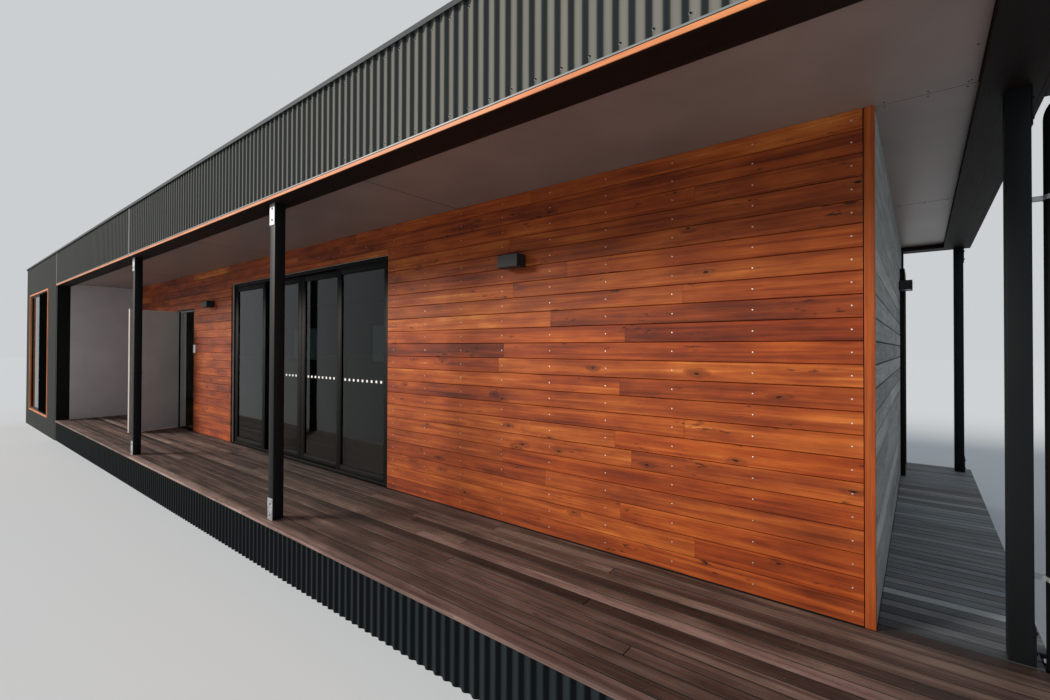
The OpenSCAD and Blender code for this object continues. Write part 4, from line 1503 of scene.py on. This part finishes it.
@dataclass
class Posts:
    """Square steel posts with rounded corners, and plates bolted to their outer faces."""

    side: float = 0.09
    corner: float = 0.004
    plate: float = 0.006
    plate_length: float = 0.185
    plate_inset: float = 0.001
    bolt: float = 0.011
    bolt_rows: tuple[float, float] = (0.045, 0.14)
    front_x: tuple[float, float] = (-4.165, -8.285)
    flank_y: float = 0.145

    def bolt_head(self) -> Piece:
        """Models a hexagon head with its washer, facing the front from the origin.

        Returns:
            The head on its washer.
        """
        washer = disc(self.bolt, 0.0025, 16, (0, -0.00125, 0), (0, -1, 0))
        head = disc(self.bolt * 0.72, 0.007, 6, (0, -0.006, 0), (0, -1, 0))
        return joined([washer, eased(head, lambda p: p.y < -0.0094, 0.001)])

    def build(self) -> None:
        """Builds posts, plates and bolts."""
        low, high = house_box("posts")
        half, head = self.side / 2, self.bolt_head()
        plate = block((self.plate_inset - half, -self.plate, 0), (half - self.plate_inset, 0, self.plate_length), 0.001)
        posts, plates, bolts, dark = [], [], [], []
        for x, y, face in [(x, low.y + half, Face.FRONT) for x in self.front_x] + [
                (high.x - half, y, Face.RIGHT) for y in (self.flank_y, high.y - half)]:
            posts.append(block((x - half, y - half, 0), (x + half, y + half, high.z), self.corner, 3))
            back = (x, y - half) if face is Face.FRONT else (x + half, y)
            out = (x, y - half - self.plate) if face is Face.FRONT else (x + half + self.plate, y)
            for foot in (0.0, high.z - self.plate_length):
                (plates if face is Face.FRONT else dark).append(copied(plate, (*back, foot), face.value))
                for row in self.bolt_rows:
                    (bolts if face is Face.FRONT else dark).append(copied(head, (*out, foot + row), face.value))
        for model in (head, plate):
            bpy.data.objects.remove(model)
        settle(joined(posts), "steel_posts", POST_COAT, replaces=("posts",), smooth=40)
        settle(joined(dark), "painted_plates", POST_COAT)
        settle(joined(plates), "zinc_plates", ZINC, replaces=("post_plates",))
        settle(joined(bolts), "plate_bolts", SATIN_STEEL)


@dataclass
class Joinery:
    """Aluminium frames: bars with eased edges, glazing beads and rubber gaskets."""

    ease: float = 0.002
    bead: float = 0.012
    rubber: float = 0.004

    def bars(self, low: Corner, high: Corner, sides: float, top: float, foot: float, ease: float) -> Piece:
        """Makes four bars round an opening in a plane that faces the front.

        Args:
            low: lowest outer corner.
            high: highest outer corner.
            sides: width of the stiles.
            top: height of the head or top rail.
            foot: height of the sill or bottom rail.
            ease: the width of the broken edges, or 0.

        Returns:
            The bars as one piece.
        """
        (x0, y0, z0), (x1, y1, z1) = low, high
        return joined(block((a, y0, c), (b, y1, d), ease, 2) for a, b, c, d in (
            (x0, x0 + sides, z0, z1), (x1 - sides, x1, z0, z1),
            (x0 + sides, x1 - sides, z1 - top, z1), (x0 + sides, x1 - sides, z0, z0 + foot)))

    def ring(self, low: Corner, high: Corner, sides: float, top: float = 0.0, foot: float = 0.0) -> Piece:
        """Makes a frame, its rails as wide as its stiles where no height is given."""
        return self.bars(low, high, sides, top or sides, foot or sides, self.ease)

    def seal(self, low: Corner, high: Corner) -> Piece:
        """Makes the gasket that shows round a pane, inside the opening between two corners."""
        return self.bars(low, high, self.rubber, self.rubber, self.rubber, 0.0)


@dataclass
class SlidingDoor:
    """Four glazed panels in a black frame: the outer two are fixed, the inner two slide behind them."""

    joinery: Joinery
    jamb: float = 0.04
    sill: float = 0.02
    stile: float = 0.085
    top_rail: float = 0.065
    foot_rail: float = 0.06
    fixed_more: float = 0.006
    bead_y: tuple[float, float] = (0.004, 0.015)
    mark: tuple[float, float] = (0.034, 0.028)
    mark_gap: float = 0.088
    mark_height: float = 1.1
    pull: tuple[float, float, float] = (0.012, 0.95, 1.15)

    def panel(self, low: Vector, high: Vector, top: float, foot: float) -> Piece:
        """Builds one panel's frame with its glazing beads.

        Args:
            low: its lowest corner.
            high: its highest corner.
            top: height of its top rail.
            foot: height of its bottom rail.

        Returns:
            The panel's frame.
        """
        beads = self.joinery.ring((low.x + self.stile, low.y + self.bead_y[0], low.z + foot),
                                  (high.x - self.stile, low.y + self.bead_y[1], high.z - top), self.joinery.bead)
        return joined([self.joinery.ring(low, high, self.stile, top, foot), beads])

    def marks(self, low: Vector, high: Vector) -> Piece:
        """Sets the row of frosted safety marks on the outer face of a pane between two corners.

        Args:
            low: the pane's lowest corner.
            high: its highest corner.

        Returns:
            The marks as one piece.
        """
        wide, tall = self.mark
        model = eased(block((-wide / 2, -0.0006, -tall / 2), (wide / 2, 0, tall / 2)),
                      lambda p: abs(p.y + 0.0003) < HAIR, 0.004, 2)
        count = int((high.x - low.x - wide) / self.mark_gap)
        start = (low.x + high.x - (count - 1) * self.mark_gap) / 2
        return scattered(model, ((start + k * self.mark_gap, low.y - 0.0002, self.mark_height) for k in range(count)))

    def seal(self, low: Vector, high: Vector) -> Piece:
        """Lays the gasket of a pane between two corners on its outer face."""
        return self.joinery.seal((low.x, low.y - 0.002, low.z), (high.x, low.y - 0.0002, high.z))

    def build(self) -> None:
        """Builds frame, panels, gaskets, marking dots and pulls."""
        low, high = house_box("slider_frame")
        slide_low, slide_high = house_box("left_panel")
        rail_y, foot = (slide_low.y + slide_high.y) / 2, low.z + self.sill
        start, end = low.x + self.jamb, high.x - self.jamb
        parts = [self.joinery.ring(low, high, self.jamb, self.jamb, self.sill),
                 block((start, rail_y - 0.004, foot), (end, rail_y + 0.004, slide_low.z - 0.0003), 0.001)]
        grooves = [(start, y - 0.002, end, y + 0.002) for y in (low.y + 0.004, high.y - 0.004)]
        parts += slabs(grooves, foot, foot + 0.003)
        settle(joined(parts), "slider_outer_frame", BLACK_COAT, replaces=("slider_frame",), smooth=40)
        low, high = house_box("fixed_panels")
        width = slide_high.x - slide_low.x
        panels = [self.panel(Vector((x, low.y, low.z)), Vector((x + width, high.y, high.z)),
                             self.top_rail + self.fixed_more, self.foot_rail + self.fixed_more)
                  for x in (low.x, high.x - width)]
        settle(joined(panels), "fixed_door_frames", BLACK_COAT, replaces=("fixed_panels",), smooth=40)
        for side, body in (("left", Body.LEFT), ("right", Body.RIGHT)):
            low, high = house_box(f"{side}_panel")
            settle(self.panel(low, high, self.top_rail, self.foot_rail), f"{side}_door_frame", BLACK_COAT, body,
                   replaces=(f"{side}_panel",), smooth=40)
            x = high.x - self.stile / 2 if side == "left" else low.x + self.stile / 2
            half, z0, z1 = self.pull
            settle(block((x - half, high.y, z0), (x + half, high.y + 0.002, z1), 0.0006), f"{side}_door_pull",
                   SATIN_STEEL, body)
            pane = house_box(f"{side}_glass")
            settle(self.marks(*pane), f"{side}_door_marks", FROSTED, body)
            settle(self.seal(*pane), f"{side}_door_gasket", BLACK_RUBBER_AND_SHADE, body)
        low, high = house_box("fixed_glass")
        width -= 2 * self.stile
        panes = [(Vector((x, *low.yz)), Vector((x + width, *high.yz))) for x in (low.x, high.x - width)]
        settle(joined(self.seal(*pane) for pane in panes), "fixed_glass_gaskets", BLACK_RUBBER_AND_SHADE)
        settle(self.marks(*panes[1]), "fixed_glass_marks", FROSTED)
        dress(GLASS, "left_glass", "right_glass", "fixed_glass")


@dataclass
class EntryDoor:
    """Flush painted leaf in a painted lining with stops, and a lever handle on a rose.

    The leaf is drawn closed and then swung open to where it stands at rest.
    """

    leaf_low: Point = (-10.62, 0.005, 0.012)
    leaf_high: Point = (-9.82, 0.045, 2.13)
    pin: tuple[float, float] = (-10.622, -0.006)
    opened: float = -76.0
    lining: float = 0.025
    stop: float = 0.012
    stop_deep: float = 0.03
    rebate: float = 0.003
    angle: float = 0.0012
    rose: float = 0.026
    lock: float = 0.024
    lock_drop: float = 0.09
    reach: float = 0.045
    lever: float = 0.11
    handle_height: float = 1.03

    def swing(self, piece: Piece) -> Piece:
        """Turns what is drawn on the closed leaf to where the leaf stands."""
        x, y = self.pin
        return moved(moved(piece, (-x, -y, 0)), (x, y, 0), self.opened)

    def leaf(self) -> Piece:
        """Models the leaf, its faces set in a hair from a hardwood edge.

        Returns:
            The leaf.
        """
        faces, piece = (self.leaf_low[1], self.leaf_high[1]), block(self.leaf_low, self.leaf_high, 0.0015, 2)
        inset(piece, lambda p: min(abs(p.y - face) for face in faces) < HAIR, (0.012, 0.0), (0.0015, -0.0008))
        return self.swing(piece)

    def handle(self) -> Piece:
        """Models rose, spindle, lever and lock on both faces of the leaf.

        Returns:
            The handles of both faces.
        """
        x, z = self.leaf_high[0] - 0.06, self.handle_height
        parts = []
        for face, sign in ((self.leaf_low[1], -1), (self.leaf_high[1], 1)):
            near, out, low = face + sign * 0.006, face + sign * self.reach, z - self.lock_drop
            turn = sorted((face, face + sign * 0.012))
            parts += [
                rod((x, face, z), (x, face + sign * 0.008, z), self.rose, 32, 0.002),
                rod((x, near, z), (x, out, z), 0.009, 20, 0.001),
                rod((x + 0.009, out, z), (x - self.lever, out, z), 0.0095, 20, 0.003),
                rod((x, face, low), (x, near, low), self.lock, 32, 0.002),
                block((x - 0.004, turn[0], low - 0.015), (x + 0.004, turn[1], low + 0.012), 0.002, 2),
            ]
        return self.swing(joined(parts))

    def boards(self) -> Piece:
        """Builds the lining's three boards, rebated at the hinges, with the stops behind the leaf.

        Returns:
            The lining.
        """
        low, high = house_box("entry_lining")
        t, stop, rebate = self.lining, self.stop, self.leaf_high[1] + self.rebate
        x0, x1, head, back = low.x + t, high.x - t, high.z - t, rebate + self.stop_deep
        return joined([
            block((low.x, low.y, 0), (x0 - 0.0016, rebate, high.z)),
            block((low.x, rebate, 0), (x0, high.y, high.z), 0.0015),
            block((x1, low.y, 0), (high.x, high.y, high.z), 0.0015),
            block((x0, low.y, head), (x1, high.y, high.z), 0.0015),
            block((x0, rebate, 0), (x0 + stop, back, head), 0.001),
            block((x1 - stop, rebate, 0), (x1, back, head), 0.001),
            block((x0, rebate, head - stop), (x1, back, head), 0.001),
        ])

    def seals(self) -> Piece:
        """Lays the black seal in the hinge side's rebate, which also paints the rebate's shade, and a black angle on
        the lining's front edges.

        Returns:
            The seal and the angle.
        """
        low, high = house_box("entry_lining")
        x0, x1, head = low.x + self.lining, high.x - self.lining, high.z - self.lining
        near, far = low.y - self.angle, low.y - 0.0001
        return joined([
            # Black seal in the rebate: a seal, and painted shade as well
            block((x0 - 0.0014, low.y + 0.001, 0.001), (x0 - 0.0004, self.leaf_high[1] + 0.0026, head)),
            block((x1, near, 0), (high.x, far, high.z), 0.0004),
            block((low.x, near, head), (x1, far, high.z), 0.0004),
        ])

    def build(self) -> None:
        """Builds the door and its lining."""
        settle(self.seals(), "entry_seals", BLACK_RUBBER_AND_SHADE)
        settle(self.boards(), "entry_lining_boards", DOOR_PAINT, replaces=("entry_lining",))
        settle(self.leaf(), "entry_door_leaf", DOOR_PAINT, Body.ENTRY, replaces=("entry_leaf",))
        settle(self.handle(), "entry_lever", DARK_LEVER, Body.ENTRY, replaces=("entry_handle",), smooth=40)
        dress(SATIN_STEEL, "hinge_pins", "leaf_hinges")


@dataclass
class Windows:
    """Black aluminium windows with a mullion, beads and flashings."""

    joinery: Joinery
    bar: float = 0.045
    flash: float = 0.03
    flash_metal: float = 0.0012
    sill_out: float = 0.01
    reveal: float = 0.026
    proud: float = 0.01
    lap: float = 0.018
    lining: float = 0.012
    screen_edge: float = 0.02
    screen_set: float = 0.006
    mullion: float = 0.02

    def flashing(self, low: Vector, high: Vector) -> list[Piece]:
        """Folds the flashing that laps the cladding round a rear window, with a deeper one as its sill.

        Args:
            low: the window's lowest corner.
            high: its highest corner, on the crests of the cladding.

        Returns:
            The four parts of the flashing.
        """
        w, y, far = self.flash, high.y, high.y + self.flash_metal
        return [
            block((low.x - w, y, low.z), (low.x, far, high.z + w), 0.0004),
            block((high.x, y, low.z), (high.x + w, far, high.z + w), 0.0004),
            block((low.x, y, high.z), (high.x, far, high.z + w), 0.0004),
            block((low.x - w, y, low.z - w), (high.x + w, y + self.sill_out, low.z), 0.001),
        ]

    def tall_window(self) -> None:
        """Builds the wing's window in its timber trim, with the fly screen over its right half."""
        j, b = self.joinery, self.bar
        low, high = house_box("tall_window")
        middle, front = (low.x + high.x) / 2, low.y + self.reveal
        tall = [j.ring((low.x, front, low.z), high, b),
                block((middle - b / 2, front, b), (middle + b / 2, high.y, high.z - b), j.ease, 2)]
        tall += [j.ring((x0, front + 0.003, b), (x1, low.y + 0.038, high.z - b), j.bead)
                 for x0, x1 in ((low.x + b, middle - b / 2), (middle + b / 2, high.x - b))]
        settle(joined(tall), "tall_window_frame", BLACK_COAT, replaces=("tall_window",), smooth=40)
        trim = j.ring((low.x - self.lap, low.y - self.proud, -self.lap),
                      (high.x + self.lap, front - 0.0002, high.z + self.lap), self.lap + self.lining)
        settle(tinted(trim, 0.6), "tall_window_trim", WINDOW_TRIM)
        edge, thin = self.screen_edge, self.screen_set
        a, c = (middle, low.y + 0.008, self.lining), (high.x - self.lining, low.y + 0.02, high.z - self.lining)
        settle(j.ring(a, c, edge), "fly_screen_frame", BLACK_COAT, smooth=40)
        settle(block((a[0] + edge, a[1] + thin, a[2] + edge), (c[0] - edge, a[1] + thin + 0.001, c[2] - edge)),
               "fly_screen", FLY_SCREEN)

    def build(self) -> None:
        """Builds the frames and dresses the panes."""
        j, b = self.joinery, self.bar
        self.tall_window()
        low, high = house_box("side_window")
        length = high.y - low.y
        side = joined([j.ring((0, 0, 0), (length, high.x - low.x, high.z), b),
                       j.ring((b, 0.06, b), (length - b, 0.085, high.z - b), j.bead)])
        settle(moved(side, (high.x, low.y, 0), 90), "side_window_frame", BLACK_COAT, replaces=("side_window",),
               smooth=40)
        low, high = house_box("rear_windows")
        frames, flashings = [], []
        for x in REAR_WINDOWS:
            a, c = Vector((x, *low.yz)), Vector((x + REAR_WINDOW_WIDTH, *high.yz))
            middle = x + REAR_WINDOW_WIDTH / 2
            frames += [
                j.ring(a, c, b),
                j.ring((x + b, high.y - 0.035, a.z + b), (c.x - b, high.y - 0.01, c.z - b), j.bead),
                block((middle - self.mullion, high.y - 0.036, a.z + b),
                      (middle + self.mullion, high.y - 0.012, c.z - b), j.ease, 2),
            ]
            flashings += self.flashing(a, c)
        settle(joined(frames), "rear_window_frames", BLACK_COAT, replaces=("rear_windows",), smooth=40)
        settle(joined(flashings), "window_flashings", FLASHING)
        dress(GLASS, "window_glass")


@dataclass
class Fittings:
    """Wall lights, door station, downpipe with its clamps, and rainwater head."""

    pipe_radius: float = 0.045
    bend: float = 0.09
    bend_start: float = 2.545
    rim: float = 0.006
    lamp_size: Point = (0.21, 0.12, 0.103)
    lamp_lift: float = 0.006
    lamp_x: tuple[float, float] = (-2.55, -9.09)
    lamp_set: float = 0.012
    lens_set: float = 0.022

    def lamp(self, low: Corner, high: Corner) -> Piece:
        """Models a box lamp with a set-in lens under it, on a thin wall plate, facing the front.

        Args:
            low: its lowest corner.
            high: its highest corner.

        Returns:
            The lamp.
        """
        (x0, y0, z0), (x1, y1, z1), d = low, high, self.lamp_set
        shell = inset(block((x0, y0, z0), (x1, y1 - d, z1), 0.003, 2), lambda p: p.z < z0 + 1e-4,
                      (0.008, 0), (0.001, -0.01))
        return joined([shell, block((x0 + d, y1 - d, z0 + 0.008), (x1 - d, y1, z1 - 0.008), 0.001)])

    def lamps(self) -> None:
        """Hangs the two lamps of the front and the one of the side, with their lenses."""
        low, high = house_box("wall_lights")
        (width, out, height), d = self.lamp_size, self.lamp_set
        z0 = low.z + self.lamp_lift
        z1, y = z0 + height, high.y - width
        lamps = [self.lamp((x, -out, z0), (x + width, 0, z1)) for x in self.lamp_x]
        lamps.append(moved(self.lamp((0, -out, z0), (width, 0, z1)), (0, y, 0), 90))
        settle(joined(lamps), "wall_lamps", LAMP_COAT, replaces=("wall_lights",))
        plans = [(x + d, d - out, x + width - d, -self.lens_set) for x in self.lamp_x]
        lenses = slabs([*plans, (self.lens_set, y + d, out - d, high.y - d)], z0 + 0.004, z0 + 0.008, 0.001)
        settle(joined(lenses), "lamp_lenses", LENS)

    def downpipe(self) -> Piece:
        """Extrudes and spins the pipe up its straight run, round its two bends, and up to the head.

        With no window, spin turns the other way about its axis, so its angles are negative.

        Returns:
            The pipe.
        """
        low, high = house_box("downpipe")
        x, y = low.x + self.pipe_radius, (low.y + high.y) / 2
        step = high.x - self.pipe_radius - x
        angle = math.acos(1 - step / (2 * self.bend))
        rise = 2 * self.bend * math.sin(angle)
        clear_selection()
        bpy.ops.mesh.primitive_circle_add(vertices=28, radius=self.pipe_radius, location=(x, y, low.z))
        piece = place_all()
        choose(piece, "VERT", lambda p: True)
        bpy.ops.mesh.extrude_region_move(TRANSFORM_OT_translate={"value": (0, 0, self.bend_start - low.z)})
        bent = self.bend_start + rise
        for across, up, turn in ((x + self.bend, self.bend_start, 1), (x + step - self.bend, bent, -1)):
            bpy.ops.mesh.spin(steps=8, angle=-angle, center=(across, y, up), axis=(0, turn, 0))
        bpy.ops.mesh.extrude_region_move(TRANSFORM_OT_translate={"value": (0, 0, high.z - self.bend_start - rise)})
        bpy.ops.mesh.select_all(action="SELECT")
        bpy.ops.mesh.remove_doubles(threshold=0.0001)
        bpy.ops.mesh.normals_make_consistent(inside=False)
        bpy.ops.object.mode_set(mode="OBJECT")
        return applied(piece, "SOLIDIFY", thickness=0.002, offset=-1.0)

    def head_rim(self) -> Piece:
        """Rolls the rim round the top of the rainwater head.

        Returns:
            The rim.
        """
        low, high = house_box("rainwater_head")
        r = self.rim
        x0, y0, x1, y1, z = low.x + r, low.y + r, high.x - r, high.y - r, high.z - r
        return joined(rod((a, b, z), (c, d, z), r, 12) for a, b, c, d in (
            (x0 - r, y0, x1 + r, y0), (x0 - r, y1, x1 + r, y1), (x0, y0, x0, y1), (x1, y0, x1, y1)))

    def build(self) -> None:
        """Builds the fittings."""
        self.lamps()
        low, high = house_box("intercom")
        station = inset(block(low, high, 0.004, 3), lambda p: p.y < low.y + 1e-4, (0.01, 0), (0.001, -0.0015))
        settle(station, "door_station", WHITE_PLASTIC, replaces=("intercom",), smooth=35)
        settle(self.downpipe(), "round_downpipe", BLACK_COAT, replaces=("downpipe",), smooth=50)
        settle(self.head_rim(), "rainwater_head_rim", BLACK_COAT, smooth=50)
        dress(BLACK_COAT, "rainwater_head")
        dress(ZINC, "pipe_clamps")


@dataclass
class Rooms:
    """What shows inside and under the house: floor boards, linings, stumps and joists."""

    board: float = 0.13
    butt: float = 0.0012
    thick: float = 0.016
    seed: int = 21
    tone: tuple[float, float] = (0.5, 0.16)
    joists: float = 0.3
    shortest: float = 1.2
    longest: float = 4.2
    room_end: float = -0.141
    stop: float = 0.02
    stop_top: float = 2.709

    def floor(self) -> Piece:
        """Lays the floor boards over the slab of the floor, first in the wing and then in the rooms.

        Returns:
            The boards as one piece.
        """
        low, high = house_box("floor")
        sill, wing_end = house_box("slider_frame")[1].y, house_box("wing_side_wall")[1].x
        rng = random.Random(self.seed)
        model = plank((0, 0, -self.thick), (1, self.board - self.butt, 0), Run.ALONG_X, 2, 0.001)
        laid, y = [], low.y
        while y < high.y - 0.01:
            width = min(self.board, high.y - y)
            end = self.room_end if y > -0.001 else wing_end
            x = low.x
            for length in board_lengths(end - low.x, rng, self.shortest, self.longest, self.joists):
                tone = min(1.0, max(0.0, rng.gauss(*self.tone)))
                laid.append(stretched(model, Run.ALONG_X, length - self.butt, (x, y, 0), tone))
                if width < self.board - 0.001:
                    for vertex in laid[-1].data.vertices:
                        vertex.co.y = min(vertex.co.y, y + width)
                x += length
            y += self.board if y > -0.001 or y + self.board < 0 else sill - y
        bpy.data.objects.remove(model)
        return joined(laid)

    def build(self) -> None:
        """Builds the floor and dresses the plain solids."""
        settle(self.floor(), "floor_boards", FLOOR_TIMBER)
        back = house_box("slider_frame")[1].y - 0.001
        sills = slabs([(a.x, 0.001, b.x, back) for a, b in (house_box("slider_frame"), house_box("entry_lining"))],
                      -self.thick, 0, 0.001)
        settle(joined(sills), "door_sills", BLACK_COAT)
        # The slab under the boards is dark to paint the shade where it shows through gaps
        low, high = house_box("floor")
        slab = joined(slabs([(low.x, 0, high.x, high.y), (low.x, low.y, house_box("wing_side_wall")[1].x, 0)],
                            low.z, -self.thick - 0.0005))
        settle(slab, "floor_slab", SLAB_SHADE_SHEET, replaces=("floor",))
        near, far = house_box("rear_wall")[0].y + 0.002, house_box("rear_cladding")[1].y - 0.001
        settle(block((0, near, 0), (self.stop, far, self.stop_top), 0.002, 2), "rear_corner_stop", BLACK_COAT)
        dress(LINING, "rear_wall", "end_wall", "wing_front_wall")
        dress(RECESS_SHADE_PAINT, "wing_side_wall")
        dress(BLACK_COAT, "wing_nib", "deck_frame")
        dress(ZINC, "stumps")


@dataclass
class Studio:
    """Pale floor, soft daylight and the camera of the view."""

    lens: float = 16.98202
    shift: float = -0.005667
    eye: Point = (0.18398, -3.17641, 1.46934)
    right: Point = (0.78169506, 0.62365389, 0.00294103)
    up: Point = (0.00357339, -0.0091945, 0.99995134)
    forward: Point = (-0.62365059, 0.78164652, 0.00941585)

    def hung(self, name: str, data: bpy.types.ID) -> Piece:
        """Adds an object that holds a camera or a lamp.

        Args:
            name: its name.
            data: the camera or the lamp.

        Returns:
            The object.
        """
        holder = bpy.data.objects.new(name, data)
        bpy.context.scene.collection.objects.link(holder)
        return holder

    def camera(self) -> None:
        """Sets the camera where the view was taken from."""
        data = bpy.data.cameras.new("eye")
        data.lens, data.sensor_width, data.shift_y = self.lens, 36.0, self.shift
        data.clip_start, data.clip_end = 0.05, 400
        holder = self.hung("eye", data)
        turn = Matrix((self.right, self.up, [-c for c in self.forward])).transposed().to_4x4()
        holder.matrix_world = Matrix.Translation(Vector(self.eye) + HOUSE) @ turn
        bpy.context.scene.camera = holder

    def floor(self) -> None:
        """Lays the pale floor."""
        clear_selection()
        bpy.ops.mesh.primitive_plane_add(size=240, location=(0, 0, 0))
        ground = bpy.context.object
        ground.name = "studio_floor"
        paper = bpy.data.materials.new("pale_floor")
        paper.use_nodes = True
        wire(paper.node_tree.nodes["Principled BSDF"],
             {"Base Color": linear("E8EFF3"), "Roughness": 1.0, "Specular IOR Level": 0.0})
        ground.data.materials.append(paper)

    def light(self) -> None:
        """Sets a wide soft key from the front left, and an even sky that shows pale in view, metal and glass."""
        world = bpy.data.worlds.new("sky")
        bpy.context.scene.world = world
        world.use_nodes = True
        tree = world.node_tree
        path = add_node(tree, "LightPath").node.outputs
        seen = path["Is Camera Ray"]
        for ray in ("Is Glossy Ray", "Is Transmission Ray"):
            seen = add_node(tree, "Math", {0: seen, 1: path[ray]}, operation="MAXIMUM")
        even = add_node(tree, "Background", {"Color": linear("E8EDF3"), "Strength": 0.36})
        pale = add_node(tree, "Background", {"Color": linear("CCCFD2"), "Strength": 1.0})
        mix = add_node(tree, "MixShader", {0: seen, 1: even, 2: pale})
        wire(tree.nodes["World Output"], {"Surface": mix})
        for name, strength, width, turn, code in (("key", 3.7, 18, (68, 0, -46), "FFF4EA"),
                                                  ("fill", 0.25, 80, (60, 0, 50), "F2F5FA")):
            lamp = bpy.data.lights.new(name, "SUN")
            lamp.energy, lamp.angle, lamp.color = strength, math.radians(width), linear(code)[:3]
            self.hung(name, lamp).rotation_euler = [math.radians(a) for a in turn]

    def build(self) -> None:
        """Sets up the view."""
        bpy.context.scene.view_settings.view_transform = "Standard"
        self.camera()
        self.floor()
        self.light()


def main() -> None:
    """Builds and dresses the house, piece by piece."""
    logging.basicConfig(level=logging.INFO, format="%(name)s %(message)s")
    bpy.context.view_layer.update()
    joinery, sheet = Joinery(), Corrugation()
    Studio().build()
    for part in (BoardWalls(), Decking(), SteelCladding(sheet), RoofWork(sheet), Posts(), SlidingDoor(joinery),
                 EntryDoor(), Windows(joinery), Fittings(), Rooms()):
        LOG.info("building %s", type(part).__name__)
        part.build()
    clear_selection()


if __name__ == "__main__":
    main()
